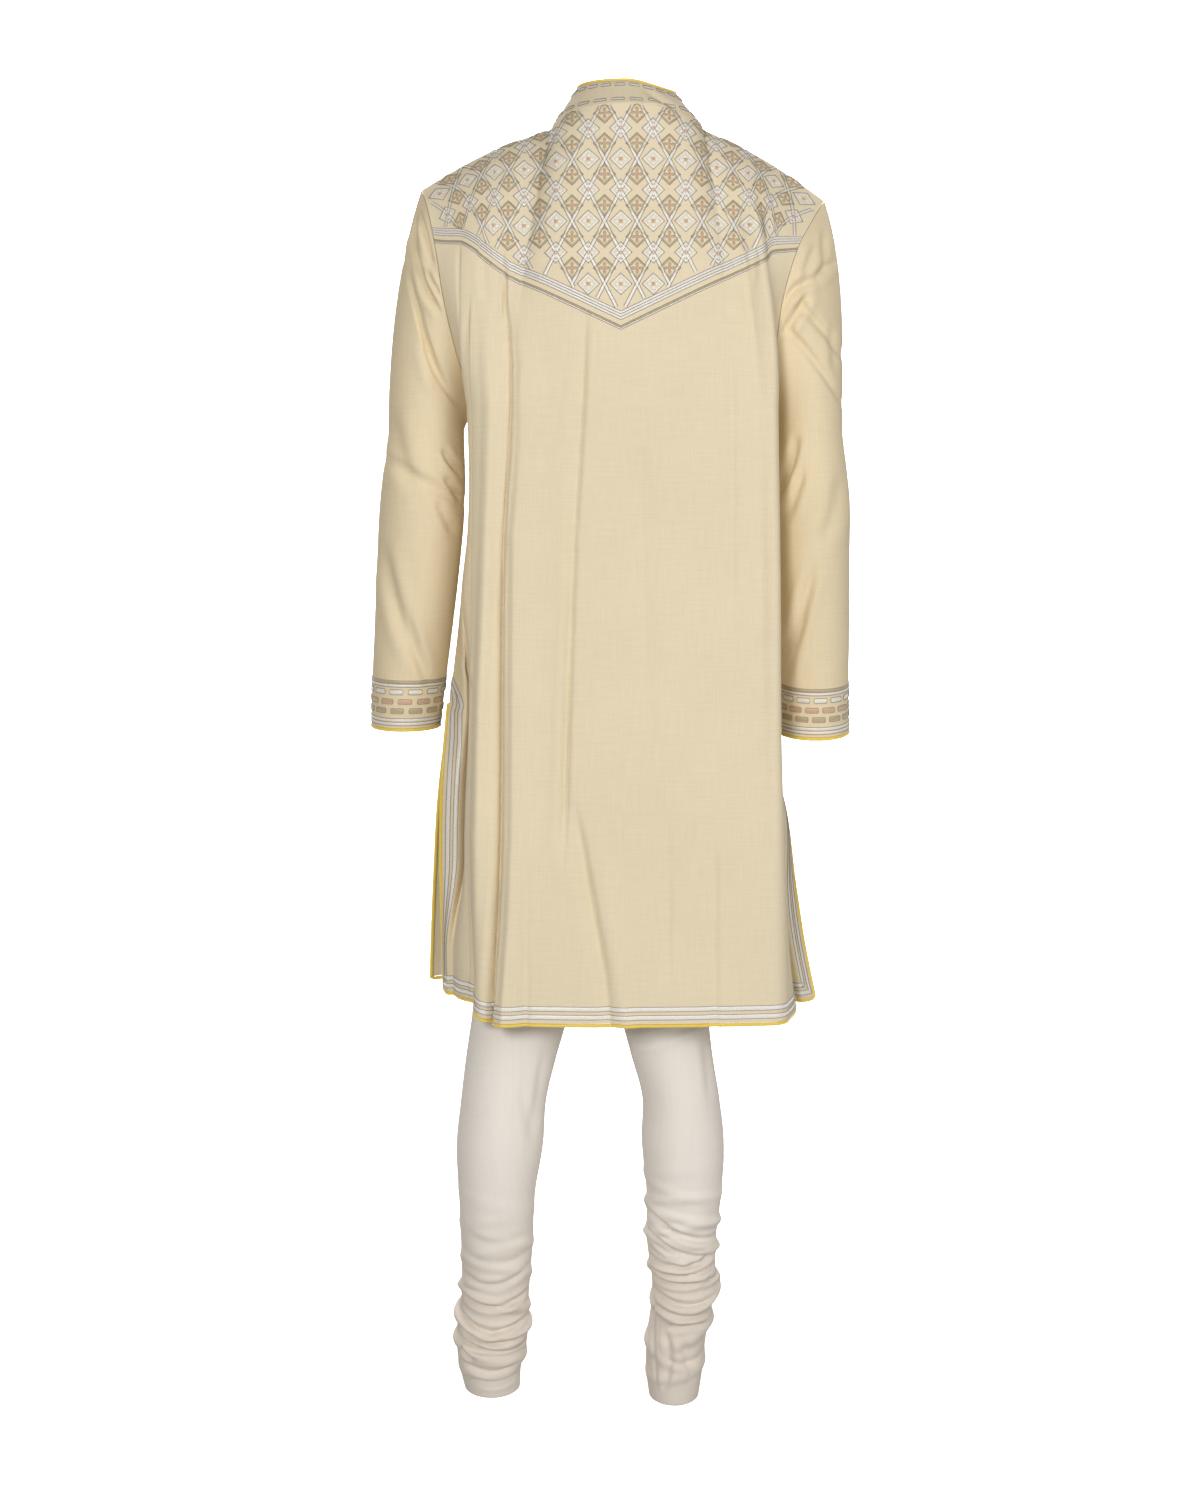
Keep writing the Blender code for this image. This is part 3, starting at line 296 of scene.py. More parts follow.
def outline(face, s, drop):
    """A panel's level: x, y, the outward direction there and the distance from the centre line.

    s runs from -1 at the right side seam to 1 at the left one.
    """
    rows = GIRTHS[face]
    left = s > 0

    def half(name):
        return np.where(left, column(rows, drop, "left_" + name), column(rows, drop, "right_" + name))

    opening = SLIT_WIDTH * np.clip((drop - SLIT_DROP) / SLIT_OPENS_OVER, 0, 1)
    spread = np.clip((drop - SLIT_DROP) / (CORNER_DROPS[-1] - SLIT_DROP), 0, None)
    moved = np.where(left, SPREADS[face].left, SPREADS[face].right)
    edge = np.where(left, column(SIDES, drop, "left"), column(SIDES, drop, "right"))
    seam_y = column(SIDES, drop, "y") + face * (SEAM + opening) / 2 + SPREADS[face].y * spread
    width, corner = half("width"), half("corner")
    flare = edge + moved * spread - width
    bow = column(rows, drop, "bow")
    flat = width - corner
    bend = corner * math.pi / 2
    side = np.abs(column(rows, drop, "face") - seam_y) - corner - bow
    far = np.abs(s) * (flat + bend + side)
    angle = np.clip((far - flat) / corner, 0, math.pi / 2)
    fall = bow * (np.minimum(far, flat) / flat) ** 2 + corner * (1 - np.cos(angle))
    fall = fall + np.clip(far - flat - bend, 0, None)
    x = np.minimum(far, flat) + corner * np.sin(angle)
    x = x + flare * ease(fall / (side + corner + bow))
    sign = np.where(left, 1.0, -1.0)
    y = column(rows, drop, "face") - face * fall
    return sign * x, y, sign * np.sin(angle), face * np.cos(angle), sign * far


def top_edge(face, s):
    """The neckline and the shoulder seam."""
    share = np.clip(np.abs(s) / NECK_SHARE, 0, 1)
    turn = share * math.pi / 2
    sign = np.where(s > 0, 1.0, -1.0)
    depth = NECK_BACK if face == BACK else -NECK_FRONT
    end_drop = 0.0 if face == BACK else NECK_FRONT_DROP
    out = np.clip((np.abs(s) - NECK_SHARE) / (1 - NECK_SHARE), 0, 1)
    tip_x = np.where(s > 0, ARMHOLES[1][0].x, ARMHOLES[-1][0].x)
    tip_drop = np.where(s > 0, ARMHOLES[1][0].drop, ARMHOLES[-1][0].drop)
    neck_x = NECK_X + sign * NECK_HALF_WIDTH * np.sin(turn)
    drop = NECK_SIDE_DROP + (end_drop - NECK_SIDE_DROP) * np.cos(turn)
    x = neck_x + (tip_x - neck_x) * out
    y = depth * np.cos(turn) + face * SHOULDER_SEAM / 2 * share
    drop = drop + (tip_drop - NECK_SIDE_DROP) * out - SHOULDER_CURVE * np.sin(out * math.pi)
    return x, y, -drop


def armhole(face, side, share):
    """The edge of a panel at its armhole, from the shoulder's tip to the underarm."""
    rows = ARMHOLES[side]
    x = column(rows, share, "x")
    y = column(rows, share, "back" if face == BACK else "front")
    y = y + face * (SHOULDER_SEAM / 2 * (1 - share) + SEAM / 2 * share)
    return x, y, -column(rows, share, "drop")


def panel(face, s, w):
    """A point of a kurta panel. w is 0 at the neck and shoulders, 1 at the chest and 2 at the hem."""
    v = np.clip(w, 0, 1)
    corner = np.where(s > 0, CORNER_DROPS[1], CORNER_DROPS[-1])
    near = np.where(s > 0, ease((s - LEFT_RISE_FROM) / LEFT_RISE_OVER), s**2)
    hem = HEM_DROPS[face] + (corner - HEM_DROPS[face]) * near
    drop = CHEST_DROP + (hem - CHEST_DROP) * np.clip(w - 1, 0, 1)
    x, y, out_x, out_y, far = outline(face, s, drop)
    z = -drop

    # Above the chest each line of cloth rises over the shoulder in one curve
    top_x, top_y, top_z = top_edge(face, s)
    shoulder = ease(np.abs(s) / NECK_SHARE)
    lead_y = face * (NECK_LEAD + (TIP_LEAD - NECK_LEAD) * shoulder)
    lead_z = -NECK_LEAD_DOWN * (1 - shoulder)
    a, b, c, d = (1 - v) ** 3, 3 * v * (1 - v) ** 2, 3 * v * v * (1 - v), v**3
    over_x = (a + b) * top_x + (c + d) * x
    over_y = a * top_y + b * (top_y + lead_y) + (c + d) * y
    over_z = a * top_z + b * (top_z + lead_z) + c * (z + UPRIGHT_OVER) + d * z

    # The outermost line follows the armhole, and its neighbours ease into it
    for side in (1, -1):
        edge_s = np.full_like(v, float(side))
        at_x, at_y = outline(face, edge_s, np.full_like(v, CHEST_DROP))[:2]
        tip_x, tip_y, tip_z = top_edge(face, edge_s)
        line_x = (a + b) * tip_x + (c + d) * at_x
        line_y = a * tip_y + b * (tip_y + face * TIP_LEAD) + (c + d) * at_y
        line_z = (a + b) * tip_z + c * (-CHEST_DROP + UPRIGHT_OVER) - d * CHEST_DROP
        hole_x, hole_y, hole_z = armhole(face, side, v)
        last_x, last_y = armhole(face, side, np.ones_like(v))[:2]
        weight = ease((side * s - ARMHOLE_EASE_FROM) / (1 - ARMHOLE_EASE_FROM)) ** ARMHOLE_EASE_POWER
        over_x = over_x + weight * (hole_x - line_x + v * (at_x - last_x))
        over_y = over_y + weight * (hole_y - line_y + v * (at_y - last_y))
        over_z = over_z + weight * (hole_z - line_z)
    upper = w < 1
    x = np.where(upper, over_x, x)
    y = np.where(upper, over_y, y)
    z = np.where(upper, over_z, z)

    edge = ease((1 - np.abs(s)) / FOLD_FADE)
    for fold in FOLDS:
        if fold.panel != face:
            continue
        path = np.array(fold.path)
        at = np.interp(-z, path[:, 0], path[:, 1])
        height = np.interp(-z, path[:, 0], path[:, 2], left=0.0, right=0.0)
        away = far - at
        t = np.clip(np.abs(away) / np.where(away > 0, fold.left_reach, fold.right_reach), 0, 1)
        lift = height * edge * np.where(height < 0, (1 - t) ** 2, 1 - ease(t))
        facing_y = face * (1 - FOLD_LEAN + FOLD_LEAN * np.abs(out_y))
        length = np.hypot(FOLD_LEAN * out_x, facing_y)
        x = x + lift * FOLD_LEAN * out_x / length
        y = y + lift * facing_y / length

    # Beside the slits the cloth turns outwards, and falls in along the fold next to it
    opens = ease((-z - SLIT_DROP) / TURN_FREE_OVER)
    for side in (1, -1):
        turn = SLIT_TURNS[face, side]
        t = np.clip((side * s - TURN_FROM) / (1 - TURN_FROM), 0, 1)
        held = 1 - (1 - opens) * ease((t - TURN_HELD) / (1 - TURN_HELD))
        y = y + face * turn.out * ease(t / TURN_WHOLE) * ease((-z - TURN_DROP) / TURN_OVER) * held
        closing = 1 - turn.closes * ease((-z - CLOSE_DROP) / CLOSE_OVER)
        reach = turn.fall * ease((-z - turn.start) / FALL_OVER) * closing
        x = x - side * reach * column(SLIT_FALLS, side * s, "x")
        y = y - face * reach * column(SLIT_FALLS, side * s, "y")
    return np.stack([x, y, z], axis=-1)


def outward(points, middle_x, middle_y, closed=False):
    """The outward direction of a cloth at each of its points."""
    if closed:
        ring_points = points[:, :-1]
        across = np.roll(ring_points, -1, axis=1) - np.roll(ring_points, 1, axis=1)
        across = np.concatenate([across, across[:, :1]], axis=1)
    else:
        across = np.gradient(points, axis=1)
    normal = np.cross(np.gradient(points, axis=0), across)
    normal = normal / np.linalg.norm(normal, axis=-1, keepdims=True)
    away = points[..., :2] - np.array([middle_x, middle_y])
    facing = 1.0 if np.sum(normal[..., :2] * away) > 0 else -1.0
    return normal * facing


# A crease runs from x, drop to to_x, to_drop on the side of the cloth that faces back (1) or front (-1),
# with its middle bowed to the left. Beside a trough the cloth stands up in a lip on one or both sides.
Crease = namedtuple("Crease", "face x drop to_x to_drop bow half_width height left_lip right_lip")
# A lip's place in half widths of its crease, and how narrow it is
LIP_AT = 1.9
LIP_NARROWNESS = 0.8
# The share of its length over which a crease fades at each end, and how late it fades as the cloth turns
CREASE_FADE = 0.3
CREASE_FACING = 2.5


def creased(points, normal, creases):
    """Press creases into a cloth."""
    x, drop = points[..., 0], -points[..., 2]
    lift = np.zeros_like(x)
    for crease in creases:
        along_x, along_drop = crease.to_x - crease.x, crease.to_drop - crease.drop
        length = math.hypot(along_x, along_drop)
        t = ((x - crease.x) * along_x + (drop - crease.drop) * along_drop) / length**2
        across = ((x - crease.x) * along_drop - (drop - crease.drop) * along_x) / length
        u = (across - crease.bow * 4 * t * (1 - t)) / crease.half_width
        fade = ease(t / CREASE_FADE) * ease((1 - t) / CREASE_FADE)
        fade = fade * ease(crease.face * normal[..., 1] * CREASE_FACING)
        shape = crease.height * np.exp(-u * u)
        shape = shape + crease.left_lip * np.exp(-LIP_NARROWNESS * (u - LIP_AT) ** 2)
        shape = shape + crease.right_lip * np.exp(-LIP_NARROWNESS * (u + LIP_AT) ** 2)
        lift = lift + shape * fade
    return points + lift[..., None] * normal


def lay_out(made, flat):
    """Smooth faces, and a cloth's UV map: a place in metres of cloth for each of the vertices."""
    weave_map = made.loops.layers.uv.new("cloth")
    made.verts.index_update()
    for face in made.faces:
        face.smooth = True
        for loop in face.loops:
            loop[weave_map].uv = flat[loop.vert.index]


def finished(name, made, material):
    """The object of a finished mesh."""
    mesh = bpy.data.meshes.new(name)
    made.to_mesh(mesh)
    made.free()
    mesh.materials.append(material)
    piece = bpy.data.objects.new(name, mesh)
    bpy.context.collection.objects.link(piece)
    return piece


def cloth_mesh(name, points, u, v, material, closed=False):
    """A cloth from its rows of points, with a UV map in metres of cloth."""
    rows, columns = u.shape
    made = bmesh.new()
    bmesh.ops.create_grid(made, x_segments=columns - 1, y_segments=rows - 1, size=1.0)
    for vertex, place in zip(made.verts, points.reshape(-1, 3).tolist()):
        vertex.co = place
    lay_out(made, np.stack([u, v], axis=-1).reshape(-1, 2))
    if closed:
        bmesh.ops.remove_doubles(made, verts=made.verts, dist=1e-6)
    piece = finished(name, made, material)
    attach(piece, "root")
    return piece


def run_length(points, axis):
    """Distance along the rows (axis 1) or down the columns (axis 0) of a cloth's points."""
    steps = np.linalg.norm(np.diff(points, axis=axis), axis=-1)
    start = np.zeros_like(steps[:1]) if axis == 0 else np.zeros_like(steps[:, :1])
    return np.concatenate([start, np.cumsum(steps, axis=axis)], axis=axis)


Cloth = namedtuple("Cloth", "points normal u v tree")


def spread_out(points, normal, u, v):
    """A cloth with its flat pattern, so that embroidery can be laid on it in metres of cloth."""
    rows, columns = u.shape
    flat = np.stack([u, v, np.zeros_like(u)], axis=-1).reshape(-1, 3)
    index = np.arange(rows * columns).reshape(rows, columns)
    faces = np.stack([index[:-1, :-1], index[:-1, 1:], index[1:, 1:], index[1:, :-1]], axis=-1)
    tree = BVHTree.FromPolygons(flat.tolist(), faces.reshape(-1, 4).tolist())
    return Cloth(points, normal, u, v, tree)


def on_cloth(cloth, places):
    """For places on the flat pattern: points on the cloth, its outward direction, how far off it."""
    columns = cloth.u.shape[1] - 1
    found = [cloth.tree.find_nearest((a, b, 0.0)) for a, b in places.tolist()]
    near = np.array([hit[0][:2] for hit in found])
    cell = np.array([hit[2] for hit in found])
    miss = np.array([hit[3] for hit in found])
    i, j = cell // columns, cell % columns
    corner = np.stack([cloth.u[i, j], cloth.v[i, j]], axis=-1)
    right = np.stack([cloth.u[i, j + 1], cloth.v[i, j + 1]], axis=-1) - corner
    down = np.stack([cloth.u[i + 1, j], cloth.v[i + 1, j]], axis=-1) - corner
    size = right[:, 0] * down[:, 1] - right[:, 1] * down[:, 0]
    size = np.where(np.abs(size) < 1e-12, 1e-12, size)
    off = near - corner
    a = np.clip((off[:, 0] * down[:, 1] - off[:, 1] * down[:, 0]) / size, 0, 1)[:, None]
    b = np.clip((right[:, 0] * off[:, 1] - right[:, 1] * off[:, 0]) / size, 0, 1)[:, None]
    mixed = []
    for field in (cloth.points, cloth.normal):
        top = field[i, j] * (1 - a) + field[i, j + 1] * a
        mixed.append(top * (1 - b) + (field[i + 1, j] * (1 - a) + field[i + 1, j + 1] * a) * b)
    normal = mixed[1] / np.linalg.norm(mixed[1], axis=-1, keepdims=True)
    return mixed[0], normal, miss


def yarn_noise(nodes, links, across, along, turn=0.0):
    """Noise drawn out along the yarns, on the cloth's own UV map."""
    where = nodes.new("ShaderNodeUVMap")
    where.uv_map = "cloth"
    stretch = nodes.new("ShaderNodeMapping")
    stretch.inputs["Scale"].default_value = (across, along, 1.0)
    stretch.inputs["Rotation"].default_value = (0.0, 0.0, turn)
    noise = nodes.new("ShaderNodeTexNoise")
    noise.inputs["Scale"].default_value = 1.0
    noise.inputs["Detail"].default_value = 2.0
    links.new(where.outputs["UV"], stretch.inputs["Vector"])
    links.new(stretch.outputs["Vector"], noise.inputs["Vector"])
    return noise.outputs["Fac"]


def ranged(nodes, links, value, start, end, low, high):
    """A value taken from the range start to end to the range low to high."""
    mapped = nodes.new("ShaderNodeMapRange")
    for name, limit in (("From Min", start), ("From Max", end), ("To Min", low), ("To Max", high)):
        mapped.inputs[name].default_value = limit
    links.new(value, mapped.inputs["Value"])
    return mapped.outputs["Result"]


def toned(nodes, links, value, tones):
    """A colour between two tones, each given with the value that it stands at."""
    ramp = nodes.new("ShaderNodeValToRGB")
    for element, (position, colour) in zip(ramp.color_ramp.elements, tones):
        element.position = position
        element.color = (*colour, 1.0)
    links.new(value, ramp.inputs["Fac"])
    return ramp.outputs["Color"]


def raised(nodes, links, height, strength, distance):
    """Relief on the material's shader."""
    relief = nodes.new("ShaderNodeBump")
    relief.inputs["Strength"].default_value = strength
    relief.inputs["Distance"].default_value = distance
    links.new(height, relief.inputs["Height"])
    links.new(relief.outputs["Normal"], nodes["Principled BSDF"].inputs["Normal"])


def new_material(name, finish):
    """A material, with its nodes and its links, and the finish that its shader is given."""
    material = bpy.data.materials.new(name)
    material.use_nodes = True
    nodes, links = material.node_tree.nodes, material.node_tree.links
    for socket, value in finish.items():
        nodes["Principled BSDF"].inputs[socket].default_value = value
    return material, nodes, links


def slub_group():
    """Plain weave of uneven yarns: slubs both ways, a fine grain and a slow change of tone."""
    group = bpy.data.node_groups.new("slub weave", "ShaderNodeTree")
    for name, kind in (("Colour", "NodeSocketColor"), ("Slub", "NodeSocketFloat")):
        group.interface.new_socket(name, in_out="INPUT", socket_type=kind)
    for name, kind in (("Colour", "NodeSocketColor"), ("Height", "NodeSocketFloat")):
        group.interface.new_socket(name, in_out="OUTPUT", socket_type=kind)
    nodes, links = group.nodes, group.links
    given = nodes.new("NodeGroupInput")
    result = nodes.new("NodeGroupOutput")
    weave = nodes.new("ShaderNodeMath")
    weave.operation = "ADD"
    links.new(yarn_noise(nodes, links, 540.0, 24.0), weave.inputs[0])
    links.new(yarn_noise(nodes, links, 28.0, 500.0), weave.inputs[1])
    slubs = ranged(nodes, links, weave.outputs["Value"], 0.55, 1.45, -1.0, 1.0)
    clouds = ranged(nodes, links, yarn_noise(nodes, links, 7.0, 7.0), 0.3, 0.7, 0.42, 0.58)
    depth = nodes.new("ShaderNodeMath")
    depth.operation = "MULTIPLY_ADD"
    links.new(slubs, depth.inputs[0])
    links.new(given.outputs["Slub"], depth.inputs[1])
    links.new(clouds, depth.inputs[2])
    shade = nodes.new("ShaderNodeVectorMath")
    shade.operation = "SCALE"
    links.new(given.outputs["Colour"], shade.inputs[0])
    links.new(ranged(nodes, links, depth.outputs["Value"], 0.2, 0.8, 0.93, 1.06), shade.inputs["Scale"])
    links.new(shade.outputs["Vector"], result.inputs["Colour"])
    links.new(weave.outputs["Value"], result.inputs["Height"])
    return group


SLUB = slub_group()
COTTON_SHEEN = 0.06


def woven(name, colour, slub, roughness, relief):
    """A woven cloth of the slub weave."""
    finish = {"Roughness": roughness, "Sheen Weight": COTTON_SHEEN, "Sheen Roughness": 0.4}
    material, nodes, links = new_material(name, finish)
    weave = nodes.new("ShaderNodeGroup")
    weave.node_tree = SLUB
    weave.inputs["Colour"].default_value = (*colour, 1.0)
    weave.inputs["Slub"].default_value = slub
    links.new(weave.outputs["Colour"], nodes["Principled BSDF"].inputs["Base Color"])
    raised(nodes, links, weave.outputs["Height"], 0.35, relief)
    return material


CREAM = woven("cream slub cotton", (0.79, 0.685, 0.485), 0.24, 0.85, 0.0003)
PANEL_ROWS = 330
UPPER_SHARE = 0.36
# The cloth's columns, from the right side seam (-1) to the left one (1), close together at the deep folds
PANEL_SHARES = np.concatenate([
    np.linspace(-1.0, 0.0, 91)[:-1], np.linspace(0.0, 0.40, 41)[:-1], np.linspace(0.40, 0.78, 91)[:-1],
    np.linspace(0.78, 1.0, 26),
])
MIDDLE_COLUMN = 90


def panel_cloth(face, creases):
    """A panel's points, its outward direction and its flat pattern."""
    upper = np.linspace(0, 1, round(PANEL_ROWS * UPPER_SHARE) + 1)
    w = np.concatenate([upper, np.linspace(1, 2, round(PANEL_ROWS * (1 - UPPER_SHARE)) + 1)[1:]])
    levels, shares = np.meshgrid(w, PANEL_SHARES, indexing="ij")
    points = panel(face, shares, levels)
    points = creased(points, outward(points, 0, 0), creases)
    down = run_length(points, 0)
    chest = len(upper) - 1
    v = down - down[chest] + CHEST_DROP
    drops = CHEST_DROP + (HEM_DROPS[face] - CHEST_DROP) * np.clip(levels - 1, 0, 1)
    v = np.where(levels > 1, drops, v)
    across = outline(face, shares, drops)[4]
    extra = (across[chest] - points[chest, :, 0]) * np.clip(levels, 0, 1)
    u = np.where(levels > 1, across, points[..., 0] + extra)
    return spread_out(points, outward(points, 0, 0), u, v)


BACK_CREASES = (
    Crease(1, 0.1810, 0.620, 0.1720, 0.655, 0.000, 0.003, -0.0035, 0.0010, 0.0010),
    Crease(1, 0.1540, 0.165, 0.1500, 0.225, 0.002, 0.005, -0.0016, 0.0006, 0.0000),
    Crease(1, 0.1300, 0.172, 0.1320, 0.250, 0.000, 0.0022, -0.0022, 0.0008, 0.0000),
    Crease(1, -0.1480, 0.150, -0.1440, 0.215, 0.000, 0.004, -0.0014, 0.0000, 0.0008),
)
back = panel_cloth(BACK, BACK_CREASES)
kurta_back = cloth_mesh("kurta_back_cloth", back.points, back.u, back.v, CREAM)
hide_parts("kurta_back")


# Kurta front panel. The same cotton, cut to the same length, with a lower neckline. It is plain below
# the shoulders, and its left slit edge shows past the back panel's.
FRONT_CREASES = (
    Crease(-1, 0.1500, 0.240, 0.0900, 0.360, 0.006, 0.008, -0.0025, 0.0010, 0.0010),
    Crease(-1, -0.1450, 0.250, -0.0950, 0.350, -0.006, 0.008, -0.0025, 0.0010, 0.0010),
    Crease(-1, 0.0500, 0.860, 0.0520, 0.990, 0.000, 0.009, -0.0018, 0.0010, 0.0000),
)
front = panel_cloth(FRONT, FRONT_CREASES)
kurta_front = cloth_mesh("kurta_front_cloth", front.points, front.u, front.v, CREAM)
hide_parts("kurta_front")


# Sleeves. One piece of the same cotton each, seamed under the arm and set into the armhole, which
# pulls creases from the shoulder to the underarm. They hang a little bent at the elbow.
Ring = namedtuple("Ring", "drop x y half_x half_y slope")
SLEEVES = {
    1: (
        Ring(0.365, 0.2255, -0.004, 0.0435, 0.055, 0.00),
        Ring(0.440, 0.2300, -0.006, 0.0490, 0.058, -0.02),
        Ring(0.520, 0.2360, -0.010, 0.0480, 0.054, -0.04),
        Ring(0.600, 0.2430, -0.016, 0.0450, 0.050, -0.05),
        Ring(0.660, 0.2487, -0.021, 0.0427, 0.048, -0.05),
        Ring(0.703, 0.2522, -0.026, 0.0405, 0.047, -0.04),
    ),
    -1: (
        Ring(0.365, -0.2150, -0.004, 0.0385, 0.055, 0.00),
        Ring(0.440, -0.2180, -0.006, 0.0445, 0.058, -0.02),
        Ring(0.520, -0.2200, -0.010, 0.0435, 0.054, -0.05),
        Ring(0.600, -0.2225, -0.016, 0.0420, 0.050, -0.08),
        Ring(0.660, -0.2232, -0.021, 0.0412, 0.048, -0.10),
        Ring(0.710, -0.2242, -0.026, 0.0417, 0.047, -0.11),
    ),
}

Roll = namedtuple("Roll", "side at drop swing half_width height span")
# The way a sleeve leaves the armhole, out and down, and the share of its cap over which the rolls set in
CAP_OUT = 0.30
CAP_DOWN = 0.90
ROLLS_OVER = 0.4
SLEEVE_ROLLS = (
    Roll(1, 0.22, 0.245, 0.085, 0.016, -0.007, 0.34),
    Roll(1, 0.26, 0.420, 0.025, 0.014, -0.005, 0.36),
    Roll(-1, 0.24, 0.225, -0.050, 0.015, -0.008, 0.36),
    Roll(-1, 0.26, 0.270, -0.060, 0.014, -0.006, 0.34),
)


def ring(rows, side, a, drop):
    """A point of a sleeve's or a leg's ring. a is 0 on the outer side, 0.25 at the back."""
    turn = a * 2 * math.pi
    y = column(rows, drop, "half_y") * np.sin(turn)
    x = column(rows, drop, "x") + side * column(rows, drop, "half_x") * np.cos(turn)
    z = -drop + column(rows, drop, "slope") * y
    return np.stack([x, column(rows, drop, "y") + y, z], axis=-1)


def rolls(table, side, a, point, middle_x, middle_y):
    """Creases and gathered folds, raised or sunk from the middle line of a sleeve or a leg."""
    out = np.stack([point[..., 0] - middle_x, point[..., 1] - middle_y], axis=-1)
    out = out / np.linalg.norm(out, axis=-1, keepdims=True)
    lift = np.zeros_like(a)
    for roll in table:
        if roll.side != side:
            continue
        away = (a - roll.at + 0.5) % 1.0 - 0.5
        level = roll.drop + roll.swing * np.sin(away * 2 * math.pi)
        if roll.span < 0.5:
            window = bump(away / roll.span)
        else:
            window = 1 - roll.span + roll.span * np.cos(away * math.pi) ** 2
        lift = lift + roll.height * window * bump((-point[..., 2] - level) / roll.half_width)
    point = point.copy()
    point[..., :2] += lift[..., None] * out
    return point


def bridge(start, end, lean, v):
    """A smooth line from a shaped opening to the first level ring, leaving it along lean."""
    reach = np.linalg.norm(end - start, axis=-1, keepdims=True)
    v = v[..., None]
    leave = reach * lean
    arrive = reach * np.array([0.0, 0.0, -1.0])
    first = (1 + 2 * v) * (1 - v) ** 2
    last = v * v * (3 - 2 * v)
    return first * start + v * (1 - v) ** 2 * leave + last * end + v * v * (v - 1) * arrive


def sleeve(side, a, w):
    """A point of a sleeve. w is 0 at the armhole, 1 under the arm and 2 at the wrist."""
    rows = SLEEVES[side]
    back = a <= 0.5
    share = np.where(back, a * 2, (1 - a) * 2)
    hole_back = np.stack(armhole(BACK, side, share), axis=-1)
    hole_front = np.stack(armhole(FRONT, side, share), axis=-1)
    hole = np.where(back[..., None], hole_back, hole_front)
    at_seam = ((share == 0) | (share == 1))[..., None]
    hole = np.where(at_seam, (hole_back + hole_front) / 2, hole)
    hole[..., 0] += side * (SEAM + FACET_ALLOWANCE)
    drop = rows[0].drop + (rows[-1].drop - rows[0].drop) * np.clip(w - 1, 0, 1)
    arm = ring(rows, side, a, drop)
    first = ring(rows, side, a, np.full_like(w, rows[0].drop))
    lean = np.array([side * CAP_OUT, 0.0, -CAP_DOWN])
    cap = bridge(hole, first, lean, np.clip(w, 0, 1))
    point = np.where((w < 1)[..., None], cap, arm)
    middle_x = column(rows, -point[..., 2], "x")
    middle_y = column(rows, -point[..., 2], "y")
    rolled = rolls(SLEEVE_ROLLS, side, a, point, middle_x, middle_y)
    return point + (rolled - point) * ease(w / ROLLS_OVER)[..., None]


